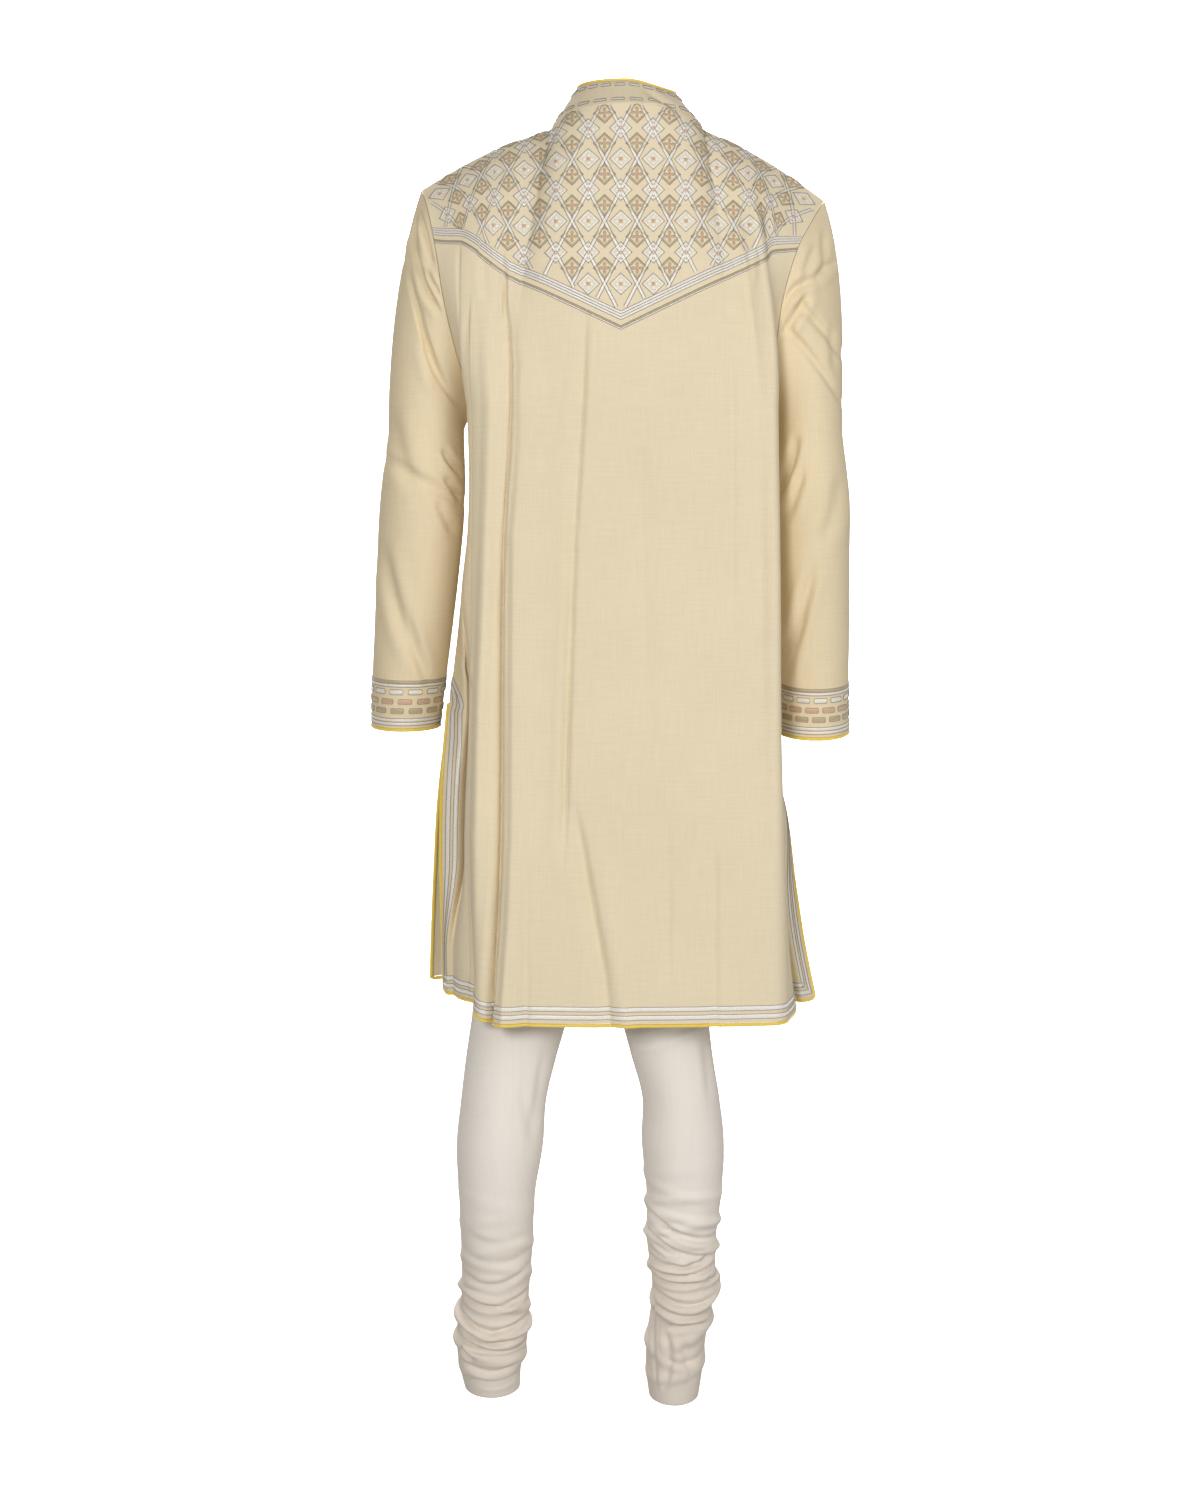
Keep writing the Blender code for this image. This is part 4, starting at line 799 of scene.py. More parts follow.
SLEEVE_CREASES = {
    1: (
        Crease(1, 0.2330, 0.108, 0.2300, 0.190, 0.0060, 0.0045, -0.0040, 0.0020, 0.0014),
        Crease(1, 0.2380, 0.150, 0.1960, 0.240, 0.0075, 0.0045, -0.0052, 0.0020, 0.0020),
        Crease(1, 0.2300, 0.112, 0.2120, 0.178, 0.0010, 0.0028, -0.0045, 0.0018, 0.0015),
        Crease(1, 0.2220, 0.180, 0.1950, 0.226, 0.0015, 0.0028, -0.0045, 0.0015, 0.0015),
        Crease(1, 0.2120, 0.200, 0.1930, 0.214, 0.0010, 0.0022, -0.0030, 0.0010, 0.0010),
        Crease(1, 0.2240, 0.250, 0.1980, 0.330, 0.0040, 0.0060, -0.0025, 0.0012, 0.0010),
        Crease(1, 0.2050, 0.380, 0.1800, 0.416, 0.0020, 0.0036, -0.0050, 0.0020, 0.0020),
        Crease(1, 0.2030, 0.412, 0.1820, 0.446, 0.0000, 0.0036, -0.0045, 0.0015, 0.0015),
        Crease(1, 0.2120, 0.436, 0.1900, 0.486, 0.0000, 0.0050, -0.0030, 0.0012, 0.0010),
        Crease(1, 0.2760, 0.480, 0.2230, 0.650, 0.0080, 0.0075, -0.0050, 0.0020, 0.0020),
        Crease(1, 0.2650, 0.330, 0.2330, 0.440, 0.0040, 0.0090, -0.0028, 0.0012, 0.0012),
        Crease(1, 0.2450, 0.560, 0.2180, 0.668, 0.0030, 0.0050, -0.0030, 0.0012, 0.0010),
        Crease(-1, 0.2350, 0.110, 0.2250, 0.200, 0.0060, 0.0045, -0.0055, 0.0020, 0.0020),
        Crease(-1, 0.2300, 0.170, 0.1950, 0.250, 0.0050, 0.0040, -0.0060, 0.0020, 0.0020),
        Crease(-1, 0.2240, 0.200, 0.2000, 0.290, 0.0030, 0.0040, -0.0040, 0.0015, 0.0015),
        Crease(-1, 0.2700, 0.390, 0.2100, 0.430, -0.0040, 0.0060, -0.0055, 0.0020, 0.0020),
        Crease(-1, 0.2700, 0.430, 0.2150, 0.450, -0.0040, 0.0050, -0.0045, 0.0016, 0.0016),
        Crease(-1, 0.2650, 0.470, 0.2250, 0.520, -0.0030, 0.0060, -0.0030, 0.0012, 0.0012),
    ),
    -1: (
        Crease(1, -0.2480, 0.168, -0.2150, 0.196, 0.0030, 0.0050, -0.0036, 0.0014, 0.0014),
        Crease(1, -0.2230, 0.188, -0.1700, 0.224, 0.0030, 0.0052, -0.0062, 0.0024, 0.0024),
        Crease(1, -0.2130, 0.200, -0.1720, 0.262, -0.0030, 0.0052, -0.0056, 0.0022, 0.0022),
        Crease(1, -0.2300, 0.130, -0.2300, 0.192, 0.0010, 0.0044, -0.0018, 0.0008, 0.0008),
        Crease(1, -0.2210, 0.150, -0.2020, 0.196, 0.0010, 0.0044, -0.0018, 0.0008, 0.0006),
        Crease(1, -0.2380, 0.235, -0.2430, 0.300, 0.0010, 0.0050, -0.0018, 0.0008, 0.0008),
        Crease(1, -0.1990, 0.362, -0.1780, 0.440, -0.0020, 0.0045, -0.0055, 0.0020, 0.0018),
        Crease(1, -0.2060, 0.400, -0.1840, 0.470, -0.0010, 0.0050, -0.0035, 0.0015, 0.0012),
        Crease(1, -0.2200, 0.505, -0.1800, 0.640, -0.0040, 0.0060, -0.0055, 0.0022, 0.0020),
        Crease(1, -0.2100, 0.560, -0.1850, 0.660, -0.0020, 0.0050, -0.0030, 0.0012, 0.0010),
        Crease(1, -0.2520, 0.400, -0.2250, 0.500, -0.0040, 0.0090, -0.0026, 0.0012, 0.0012),
        Crease(-1, -0.2350, 0.120, -0.2250, 0.205, -0.0060, 0.0045, -0.0055, 0.0020, 0.0020),
        Crease(-1, -0.2250, 0.180, -0.1900, 0.250, -0.0050, 0.0040, -0.0060, 0.0020, 0.0020),
        Crease(-1, -0.2500, 0.390, -0.1950, 0.430, 0.0040, 0.0060, -0.0055, 0.0020, 0.0020),
        Crease(-1, -0.2450, 0.430, -0.2000, 0.480, 0.0030, 0.0060, -0.0035, 0.0014, 0.0014),
    ),
}
SLEEVE_COLUMNS = 144
SLEEVE_ROWS = 280
CAP_SHARE = 0.4
# The arm's middle, and how far below the armhole's seam the creases set in
ARM_X = 0.225
ARM_Y = -0.01
SEAM_CALM = 0.016


def sleeve_cloth(side):
    """A sleeve's points and its flat pattern: u round the arm from the seam, v up from the wrist."""
    a = np.linspace(0.5, 1.5, SLEEVE_COLUMNS + 1) % 1.0
    cap = np.linspace(0, 1, round(SLEEVE_ROWS * CAP_SHARE) + 1)
    w = np.concatenate([cap, np.linspace(1, 2, round(SLEEVE_ROWS * (1 - CAP_SHARE)) + 1)[1:]])
    levels, rounds = np.meshgrid(w, a, indexing="ij")
    smooth = sleeve(side, rounds, levels)
    normal = outward(smooth, side * ARM_X, ARM_Y, closed=True)
    below_seam = ease(run_length(smooth, 0) / SEAM_CALM)[..., None]
    points = smooth + (creased(smooth, normal, SLEEVE_CREASES[side]) - smooth) * below_seam
    down = run_length(points, 0)
    girth = run_length(points, 1)[-1]
    u = np.broadcast_to(np.linspace(0, 1, SLEEVE_COLUMNS + 1) * girth[-1], points.shape[:2])
    v = down[-1] - down
    return spread_out(points, outward(points, side * ARM_X, ARM_Y, closed=True), u, v)


SLEEVE_CREAM = woven("cream sleeve cotton", (0.80, 0.675, 0.455), 0.24, 0.85, 0.0003)
sleeves = {}
for word, side in (("left", 1), ("right", -1)):
    sleeves[side] = sleeve_cloth(side)
    made = sleeves[side]
    piece = cloth_mesh("sleeve_" + word + "_cloth", made.points, made.u, made.v, SLEEVE_CREAM, closed=True)
    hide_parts("kurta_sleeve_" + word)


# Band collar. Two layers of the cotton stand up from the neckline and lean in towards the neck, open
# at the centre front. A soft crease runs down across its right side at the back.
COLLAR_HALF_WIDTH = 0.057
COLLAR_BACK = 0.040
COLLAR_FRONT = 0.067
COLLAR_BACK_RISE = 0.030
COLLAR_SIDE_RISE = 0.0246
COLLAR_FRONT_DROP = 0.036
COLLAR_OPENING = 0.010
COLLAR_THICK = 0.0018
# The right side dips at the back: how deep, and where along X and Y it sets in
COLLAR_DIP = 0.0075
DIP_X = -0.002
DIP_X_OVER = 0.055
DIP_Y = -0.030
DIP_Y_OVER = 0.050
COLLAR_ROWS = 17
COLLAR_COLUMNS = 181
COLLAR_CREASES = (
    Crease(1, -0.0200, -0.024, -0.0850, 0.016, 0.0020, 0.0040, -0.0022, 0.0014, 0.0008),
    Crease(1, 0.0600, -0.020, 0.0800, 0.012, 0.0000, 0.0060, -0.0012, 0.0006, 0.0000),
)


def collar(turn, rise):
    """A point of the collar. turn is 0 at the back and +-pi at the front, rise 1 at its top edge."""
    back = np.cos(turn) > 0
    level = np.abs(np.cos(turn))
    base_y = np.where(back, NECK_BACK, -NECK_FRONT) * level
    top_y = np.where(back, COLLAR_BACK, -COLLAR_FRONT) * level
    base_drop = NECK_SIDE_DROP + (np.where(back, 0.0, NECK_FRONT_DROP) - NECK_SIDE_DROP) * level
    end_drop = np.where(back, -COLLAR_BACK_RISE, COLLAR_FRONT_DROP)
    top_drop = -COLLAR_SIDE_RISE + (end_drop + COLLAR_SIDE_RISE) * level
    x = NECK_X + np.sin(turn) * (NECK_HALF_WIDTH + (COLLAR_HALF_WIDTH - NECK_HALF_WIDTH) * rise)
    y = base_y + (top_y - base_y) * rise
    return np.stack([x, y, -(base_drop + (top_drop - base_drop) * rise)], axis=-1)


collar_turns = np.linspace(-1, 1, COLLAR_COLUMNS) * (math.pi - COLLAR_OPENING / 2 / NECK_FRONT)
collar_rises, collar_rounds = np.meshgrid(np.linspace(1, 0.01, COLLAR_ROWS), collar_turns, indexing="ij")
collar_points = collar(collar_rounds, collar_rises)
collar_points = creased(collar_points, outward(collar_points, NECK_X, 0), COLLAR_CREASES)
dip = ease((DIP_X - collar_points[..., 0]) / DIP_X_OVER) * ease((collar_points[..., 1] - DIP_Y) / DIP_Y_OVER)
collar_points[..., 2] -= COLLAR_DIP * dip * collar_rises
collar_out = outward(collar_points, NECK_X, 0)
collar_v = run_length(collar_points, 0)
collar_run = run_length(collar_points, 1)[COLLAR_ROWS // 2]
collar_u = np.broadcast_to(collar_run - collar_run[COLLAR_COLUMNS // 2], collar_v.shape)
band = spread_out(collar_points, collar_out, collar_u, collar_v)
kurta_collar = cloth_mesh("collar_cloth", band.points, band.u, band.v, CREAM)
thick = kurta_collar.modifiers.new("two layers", "SOLIDIFY")
thick.thickness = COLLAR_THICK
face_out = np.array(kurta_collar.data.polygons[0].normal) @ collar_out[0, 0] > 0
thick.offset = -1.0 if face_out else 1.0
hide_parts("kurta_collar")


# Placket. A plain strip of the cotton over the centre front opening, stitched down both edges, with
# four small cloth-covered buttons that keep their places.
PLACKET_LENGTH = 0.296
PLACKET_WIDTH = 0.034
PLACKET_RISE = 0.0022
PLACKET_MARGIN = 0.006
PLACKET_SEWN_IN = 0.03
placket_u, placket_v = np.meshgrid(np.linspace(-1, 1, 13) * PLACKET_WIDTH / 2, np.linspace(0, 1, 90))
placket_top = front.v[0, MIDDLE_COLUMN] + PLACKET_MARGIN
placket_v = placket_top + placket_v * (PLACKET_LENGTH - PLACKET_SEWN_IN)
strip, strip_out, _ = on_cloth(front, np.stack([placket_u, placket_v], axis=-1).reshape(-1, 2))
off_edge = (np.abs(placket_u) < PLACKET_WIDTH / 2 * 0.99).reshape(-1, 1)
strip = (strip + strip_out * PLACKET_RISE * off_edge).reshape(*placket_u.shape, 3)
placket = cloth_mesh("placket_cloth", strip, placket_u, placket_v, CREAM)
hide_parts("kurta_placket")

BUTTON_RADIUS = 0.006
BUTTON_FLATNESS = 0.42
FIRST_BUTTON = 0.10
BUTTON_PITCH = 0.075
for number in range(4):
    low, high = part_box("kurta_button_%d" % (number + 1))
    middle = (np.array(low) + np.array(high)) / 2
    _, facing, _ = on_cloth(front, np.array([[middle[0], FIRST_BUTTON + BUTTON_PITCH * number]]))
    dome = bmesh.new()
    bmesh.ops.create_uvsphere(dome, u_segments=32, v_segments=16, radius=BUTTON_RADIUS)
    bmesh.ops.scale(dome, vec=(1.0, 1.0, BUTTON_FLATNESS), verts=dome.verts)
    turn = Vector(facing[0].tolist()).to_track_quat("Z", "Y").to_matrix()
    bmesh.ops.rotate(dome, matrix=turn, verts=dome.verts)
    bmesh.ops.translate(dome, vec=middle.tolist(), verts=dome.verts)
    lay_out(dome, [(vertex.co.x, vertex.co.z) for vertex in dome.verts])
    button = finished("button_%d_cover" % (number + 1), dome, CREAM)
    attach(button, "root")
    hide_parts("kurta_button_%d" % (number + 1))


# Satin piping. A bias strip of bright yellow satin is rolled over a cord and sewn along the collar's
# top edge, the wrists, the slits and the hems.
PIPING_RADIUS = 0.0021
PIPING_SIDES = 10
PIPING_REACH = PIPING_RADIUS + 0.0002
PIPING_SUNK = 0.0008


def satin(name, colour):
    """Smooth yellow satin that shines along its length, with small pulls from its stitches."""
    material, nodes, links = new_material(name, {"Roughness": 0.38, "Sheen Weight": 0.25})
    pulls = yarn_noise(nodes, links, 260.0, 900.0)
    shade = (colour[0] * 0.90, colour[1] * 0.84, colour[2] * 0.75)
    tone = toned(nodes, links, pulls, ((0.3, shade), (0.7, colour)))
    links.new(tone, nodes["Principled BSDF"].inputs["Base Color"])
    raised(nodes, links, pulls, 0.3, 0.0004)
    return material


YELLOW = satin("yellow satin", (0.90, 0.67, 0.10))


def rolled(name, path, material, closed=False):
    """A tube round a path of points. Its first side is square to the path, and the rest don't twist."""
    if closed:
        along = np.roll(path, -1, axis=0) - np.roll(path, 1, axis=0)
    else:
        along = np.gradient(path, axis=0)
    along = along / np.linalg.norm(along, axis=-1, keepdims=True)
    side = np.cross(along, np.array([0.13, 0.21, 0.97]))
    if np.linalg.norm(side[0]) < 0.35:
        side[0] = np.cross(along[0], np.array([0.0, 1.0, 0.05]))
    side[0] = side[0] / np.linalg.norm(side[0])
    for i in range(1, len(side)):
        side[i] = side[i - 1] - (side[i - 1] @ along[i]) * along[i]
        side[i] = side[i] / np.linalg.norm(side[i])
    up = np.cross(along, side)
    turn = np.linspace(0, 2 * math.pi, PIPING_SIDES + 1)[None, :, None]
    points = path[:, None] + PIPING_RADIUS * (np.cos(turn) * side[:, None] + np.sin(turn) * up[:, None])
    if closed:
        points = np.concatenate([points, points[:1]])
        twist = points[-2] - path[-1]
        order = np.argmin(np.linalg.norm(points[0, :-1] - path[0] - twist[0], axis=-1))
        points[-1, :-1] = np.roll(points[0, :-1], -order, axis=0)
        points[-1, -1] = points[-1, 0]
    v = np.broadcast_to(np.linspace(0, 2 * math.pi * PIPING_RADIUS, PIPING_SIDES + 1), points.shape[:2])
    u = np.broadcast_to(run_length(points[:, :1], 0), points.shape[:2])
    return cloth_mesh(name, points, u, v, material, closed=True)


def edge_path(points, normal, inner, reach, depth):
    """A path just past the edge of a cloth."""
    out = points - inner
    out = out / np.linalg.norm(out, axis=-1, keepdims=True)
    return points + out * reach - normal * depth


collar_edge = edge_path(band.points[0], band.normal[0], band.points[1], PIPING_REACH, COLLAR_THICK / 2)
collar_piping = rolled("collar_piping_satin", collar_edge, YELLOW)
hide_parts("collar_piping")
for word, side in (("left", 1), ("right", -1)):
    made = sleeves[side]
    wrist = edge_path(made.points[-1], made.normal[-1], made.points[-2], PIPING_REACH, PIPING_SUNK)[:-1]
    piece = rolled("cuff_piping_" + word + "_satin", wrist, YELLOW, closed=True)
    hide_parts("cuff_piping_" + word)


def slit_and_hem(made):
    """Row and column numbers of a panel's edge: down the left slit, along the hem, up the right slit."""
    slit = np.flatnonzero(made.v[:, 0] > SLIT_DROP + SLIT_OPENS_OVER * 0.5)
    rows, columns = made.u.shape
    hem = np.arange(1, columns - 1)[::-1]
    i = np.concatenate([slit, np.full(len(hem), rows - 1), slit[::-1]])
    j = np.concatenate([np.full(len(slit), columns - 1), hem, np.zeros(len(slit), dtype=int)])
    return i, j, len(slit)


for name, made in (("back_piping", back), ("front_piping", front)):
    i, j = slit_and_hem(made)[:2]
    last = made.u.shape[1] - 1
    inner = made.points[np.where(j % last == 0, i, i - 1), np.clip(j, 1, last - 1)]
    path = edge_path(made.points[i, j], made.normal[i, j], inner, PIPING_REACH, PIPING_SUNK)
    piece = rolled(name + "_satin", path, YELLOW)
    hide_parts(name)


# Embroidery along the hems and slits. Two bands of silver thread, each couched down between grey cords,
# run beside the piping, and turn in a point above the top of each slit.
THREAD_STEP = 0.0025
THREAD_EDGE = 0.0001
FLOSS_HEIGHT = 0.0008
CORD_WIDTH = 0.0008
CORD_HEIGHT = 0.0010
CORD_GAP = 0.0003


def thread(name, colour, roughness, metallic):
    """Floss laid side by side: a fine twist across its length, a soft gleam and uneven tone."""
    finish = {"Roughness": roughness, "Metallic": metallic, "Sheen Weight": 0.3}
    material, nodes, links = new_material(name, finish)
    strands = yarn_noise(nodes, links, 1500.0, 420.0, turn=0.35)
    shade = (colour[0] * 0.78, colour[1] * 0.77, colour[2] * 0.76)
    tone = toned(nodes, links, strands, ((0.32, shade), (0.62, colour)))
    links.new(tone, nodes["Principled BSDF"].inputs["Base Color"])
    raised(nodes, links, strands, 0.5, 0.0004)
    return material


SILVER = thread("silver white thread", (0.89, 0.86, 0.81), 0.42, 0.08)
GOLD = thread("antique gold thread", (0.53, 0.43, 0.275), 0.5, 0.12)
COPPER = thread("copper peach thread", (0.70, 0.44, 0.30), 0.5, 0.1)
CORD = thread("grey cord", (0.37, 0.315, 0.24), 0.6, 0.1)


def spaced(path, step=THREAD_STEP):
    """A path with even steps, its corners kept."""
    path = np.asarray(path, dtype=float)
    length = np.linalg.norm(np.diff(path, axis=0), axis=1)
    pieces = [
        start + (end - start) * np.linspace(0, 1, max(1, round(reach / step)) + 1)[:-1, None]
        for start, end, reach in zip(path[:-1], path[1:], length)
    ]
    return np.concatenate(pieces + [path[-1:]])


def beside(path, distance, closed=False):
    """A path moved sideways, its corners mitred."""
    if closed:
        along = np.roll(path, -1, axis=0) - path
        before = np.roll(along, 1, axis=0)
    else:
        along = np.diff(path, axis=0)
        before = np.concatenate([along[:1], along])
        along = np.concatenate([along, along[-1:]])
    along = along / np.maximum(np.linalg.norm(along, axis=1, keepdims=True), 1e-9)
    before = before / np.maximum(np.linalg.norm(before, axis=1, keepdims=True), 1e-9)
    across = np.stack([along[:, 1] + before[:, 1], -along[:, 0] - before[:, 0]], axis=-1)
    size = np.maximum(np.sum(across * across, axis=1, keepdims=True), 0.6)
    return path + across * 2 * distance / size


Laid = namedtuple("Laid", "cloth path width height closed taper")


class Stitching:
    """Threads of one colour, gathered as they are laid, then made into one piece."""

    def __init__(self):
        self.threads = []

    def lay(self, cloth, path, width, height, closed=False, taper=1.0):
        """Lay a thread along a path on a cloth's flat pattern."""
        self.threads.append(Laid(cloth, np.asarray(path, dtype=float), width, height, closed, taper))

    def make(self, name, material, slot):
        """Sew the threads to their cloths, as one piece."""
        sewn = bmesh.new()
        flat = []
        by_cloth = {}
        for laid in self.threads:
            by_cloth.setdefault(id(laid.cloth), []).append(laid)
        for group in by_cloth.values():
            ribbons = []
            for laid in group:
                half = np.broadcast_to(laid.width / 2 * laid.taper, len(laid.path))[:, None]
                side = (beside(laid.path, 1.0, laid.closed) - laid.path) * half
                ribbon = np.stack([laid.path + side, laid.path, laid.path - side], axis=1)
                if laid.closed:
                    ribbon = np.concatenate([ribbon, ribbon[:1]])
                ribbons.append(ribbon)
            places = np.concatenate([ribbon.reshape(-1, 2) for ribbon in ribbons])
            points, normal, _ = on_cloth(group[0].cloth, places)
            start = 0
            for laid, ribbon in zip(group, ribbons):
                count = len(ribbon)
                chosen = slice(start, start + count * 3)
                start += count * 3
                rise = np.tile([THREAD_EDGE, laid.height, THREAD_EDGE], count)[:, None]
                grid = bmesh.ops.create_grid(sewn, x_segments=2, y_segments=count - 1, size=1.0)
                laid_points = (points[chosen] + normal[chosen] * rise).tolist()
                for vertex, place in zip(grid["verts"], laid_points):
                    vertex.co = place
                run = np.repeat(run_length(ribbon[:, 1:2], 0), 3)
                flat.append(np.stack([run, np.tile([0.0, laid.width / 2, laid.width], count)], axis=-1))
        lay_out(sewn, np.concatenate(flat))
        piece = finished(name, sewn, material)
        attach(piece, "root")
        return piece


def couched(cloth, path, width, floss, cords):
    """A band of floss between two grey cords."""
    floss.lay(cloth, path, width, FLOSS_HEIGHT)
    for side in (1, -1):
        cords.lay(cloth, beside(path, side * (width / 2 + CORD_GAP)), CORD_WIDTH, CORD_HEIGHT)


edge_silver, edge_cord = Stitching(), Stitching()
BAND_WIDTH = 0.0046
BAND_IN = (0.0072, 0.0165)
# How far the bands' points stand above a slit, how far below its top they leave its edge, and how many
# places of the edge lie between two of their path, down a slit and along the hem
POINT_RISE = 0.004
BAND_START = 0.006
SLIT_STRIDE = 12
HEM_STRIDE = 4
for made in (back, front):
    i, j, slit_rows = slit_and_hem(made)
    flat_edge = np.stack([made.u[i, j], made.v[i, j]], axis=-1)
    corner = slit_rows - 1
    other = len(flat_edge) - slit_rows
    left = np.concatenate([flat_edge[:corner + 1:SLIT_STRIDE], flat_edge[corner:corner + 1]])
    hem = flat_edge[corner + HEM_STRIDE:other - HEM_STRIDE + 1:HEM_STRIDE]
    right = np.concatenate([flat_edge[other:other + 1], flat_edge[other + 5::SLIT_STRIDE]])
    for depth in BAND_IN:
        band_path = np.concatenate([left - (depth, 0), hem - (0, depth), right + (depth, 0)])
        band_path[[len(left) - 1, len(left) + len(hem)], 1] -= depth
        band_path = band_path[band_path[:, 1] > SLIT_DROP + BAND_START]
        peaks = np.array([[made.u[i[0], -1], SLIT_DROP], [made.u[i[-1], 0], SLIT_DROP]])
        peaks[:, 1] -= POINT_RISE + depth
        band_path = np.concatenate([peaks[:1], band_path, peaks[1:]])
        couched(made, spaced(band_path), BAND_WIDTH, edge_silver, edge_cord)
edge_silver = edge_silver.make("edge_silver_thread", SILVER, "kurta_back")
edge_cord = edge_cord.make("edge_grey_cord", CORD, "kurta_back")


# Cuff embroidery. A double line above, three rows of outlined dashes in silver, copper and antique
# gold, set like bricks, and a silver double line beside the piping.
cuff_silver, cuff_gold, cuff_copper, cuff_cord = (Stitching() for _ in range(4))
DashRow = namedtuple("DashRow", "up shift floss")
DASH_ROWS = (
    DashRow(0.0430, 0.0, cuff_silver),
    DashRow(0.0315, 0.5, cuff_copper),
    DashRow(0.0205, 0.1, cuff_gold),
)
DASH_LENGTH = 0.0163
DASH_HEIGHT = 0.0060
DASH_PITCH = 0.0212
# A dash's outline in halves of its length and height, and the share of its height that the floss takes
DASH_OUTLINE = (
    (-1, -0.5), (-0.86, -1), (0.86, -1), (1, -0.5), (1, 0.5), (0.86, 1), (-0.86, 1), (-1, 0.5),
)
DASH_FLOSS = 0.74
RAISED_FLOSS = 0.0010
RAISED_CORD = 0.0011
# The lines above and below the dashes: how far up from the wrist each runs, then the cords beside them
CUFF_LINES = ((0.0545, cuff_gold), (0.0508, cuff_silver), (0.0098, cuff_silver), (0.0052, cuff_silver))
CUFF_CORDS = (0.0565, 0.0527, 0.0490, 0.0117, 0.0075, 0.0032)
CUFF_LINE_WIDTH = 0.0026
CUFF_SEAM = 0.002


def dash(cloth, u, v, length, height, floss, cords):
    """A dash of satin stitch with a cord sewn round it."""
    ends = np.array([[u - length / 2, v], [u + length / 2, v]])
    floss.lay(cloth, spaced(ends), height * DASH_FLOSS, RAISED_FLOSS)
    corners = np.array(DASH_OUTLINE) * (length / 2, height / 2)
    ring_path = spaced(np.concatenate([corners, corners[:1]]) + (u, v))[:-1]
    cords.lay(cloth, ring_path, CORD_WIDTH, RAISED_CORD, closed=True)


for made in (sleeves[1], sleeves[-1]):
    girth = made.u[-1, -1]
    round_arm = np.linspace(CUFF_SEAM, girth - CUFF_SEAM, 130)
    for up, floss in CUFF_LINES:
        line = np.stack([round_arm, np.full_like(round_arm, up)], axis=-1)
        floss.lay(made, line, CUFF_LINE_WIDTH, FLOSS_HEIGHT)
    for up in CUFF_CORDS:
        line = np.stack([round_arm, np.full_like(round_arm, up)], axis=-1)
        cuff_cord.lay(made, line, CORD_WIDTH, CORD_HEIGHT)
    count = int(girth / DASH_PITCH)
    for row in DASH_ROWS:
        for number in range(count):
            u = (number + 0.5 + row.shift) * girth / count
            if u < girth - DASH_LENGTH / 2:
                dash(made, u, row.up, DASH_LENGTH, DASH_HEIGHT, row.floss, cuff_cord)
cuff_pieces = [
    cuff_silver.make("cuff_silver_thread", SILVER, "kurta_sleeve_left"),
    cuff_gold.make("cuff_gold_thread", GOLD, "kurta_sleeve_left"),
    cuff_copper.make("cuff_copper_thread", COPPER, "kurta_sleeve_left"),
    cuff_cord.make("cuff_grey_cord", CORD, "kurta_sleeve_left"),
]


# Collar embroidery. One row of silver dashes under the piping and one above the neck seam.
collar_silver, collar_cord = Stitching(), Stitching()
# Each row's share of the way down the collar, and the height of its dashes
COLLAR_DASH_ROWS = ((0.17, 0.0050), (0.80, 0.0044))
COLLAR_DASH_LENGTH = 0.0128
COLLAR_DASH_PITCH = 0.0175
COLLAR_END = 0.008
collar_reach = band.u[0, -1] - COLLAR_END
count = int(2 * (collar_reach - COLLAR_END / 2) / COLLAR_DASH_PITCH)
for share, dash_height in COLLAR_DASH_ROWS:
    for number in range(count):
        u = (2 * (number + 0.5) / count - 1) * collar_reach
        here = np.argmin(np.abs(band.u[0] - u))
        dash(band, u, band.v[-1, here] * share, COLLAR_DASH_LENGTH, dash_height, collar_silver, collar_cord)
collar_silver = collar_silver.make("collar_silver_thread", SILVER, "kurta_collar")
collar_cord = collar_cord.make("collar_grey_cord", CORD, "kurta_collar")


# Yoke embroidery. The back of the shoulders is covered by a pointed yoke, filled with a common diamond
# trellis of silver lines, with a smaller diamond of silver or antique gold and a four-petalled flower in
# each. Couched silver lines and a thin gold one edge it, and a shorter piece runs over to the front.
YOKE_TIP = 0.0023
YOKE_TIP_DROP = 0.2350
YOKE_SLOPES = (0.470, 0.480)
DIAMOND_WIDTH = 0.0360
DIAMOND_HEIGHT = 0.0350
TRELLIS_WIDTH = 0.0030
YOKE_END_RISE = 0.014
YOKE_END_FROM = 0.11
YOKE_END_OVER = 0.10
FRONT_YOKE_DROP = 0.128
FRONT_YOKE_SLOPE = 0.10
# How far the trellis and the flowers keep from the yoke's edges, and how near a place on the cloth counts
TRELLIS_MARGIN = 0.006
FLOWER_MARGIN = 0.011
ON_CLOTH = 0.0006
# The lines along the lower edge: how far above or below it each runs, its width, and whether it is gold
EdgeLine = namedtuple("EdgeLine", "gap width gold")
EDGE_LINES = (
    EdgeLine(-0.0032, 0.0024, False),
    EdgeLine(0.0, 0.0024, False),
    EdgeLine(0.0032, 0.0024, False),
    EdgeLine(0.0125, 0.0015, True),
    EdgeLine(0.0146, 0.0013, False),
)
yoke_silver, yoke_gold, yoke_copper, yoke_cord = (Stitching() for _ in range(4))


def yoke_edge(u):
    """How far down the back yoke reaches."""
    slope = np.where(u > YOKE_TIP, YOKE_SLOPES[0], YOKE_SLOPES[1])
    end_rise = YOKE_END_RISE * ease((u - YOKE_END_FROM) / YOKE_END_OVER)
    return YOKE_TIP_DROP - slope * np.abs(u - YOKE_TIP) - end_rise


def front_yoke_edge(u):
    """How far down the front yoke reaches."""
    return FRONT_YOKE_DROP + FRONT_YOKE_SLOPE * np.abs(u)


def inside(cloth, path, edge, margin):
    """Which places of a path lie on the yoke, clear of its edges."""
    keep = path[:, 1] < edge(path[:, 0]) - margin
    for away in ((margin, 0), (-margin, 0), (0, -margin / 3), (0, 0)):
        keep &= on_cloth(cloth, path + away)[2] < ON_CLOTH
    return keep


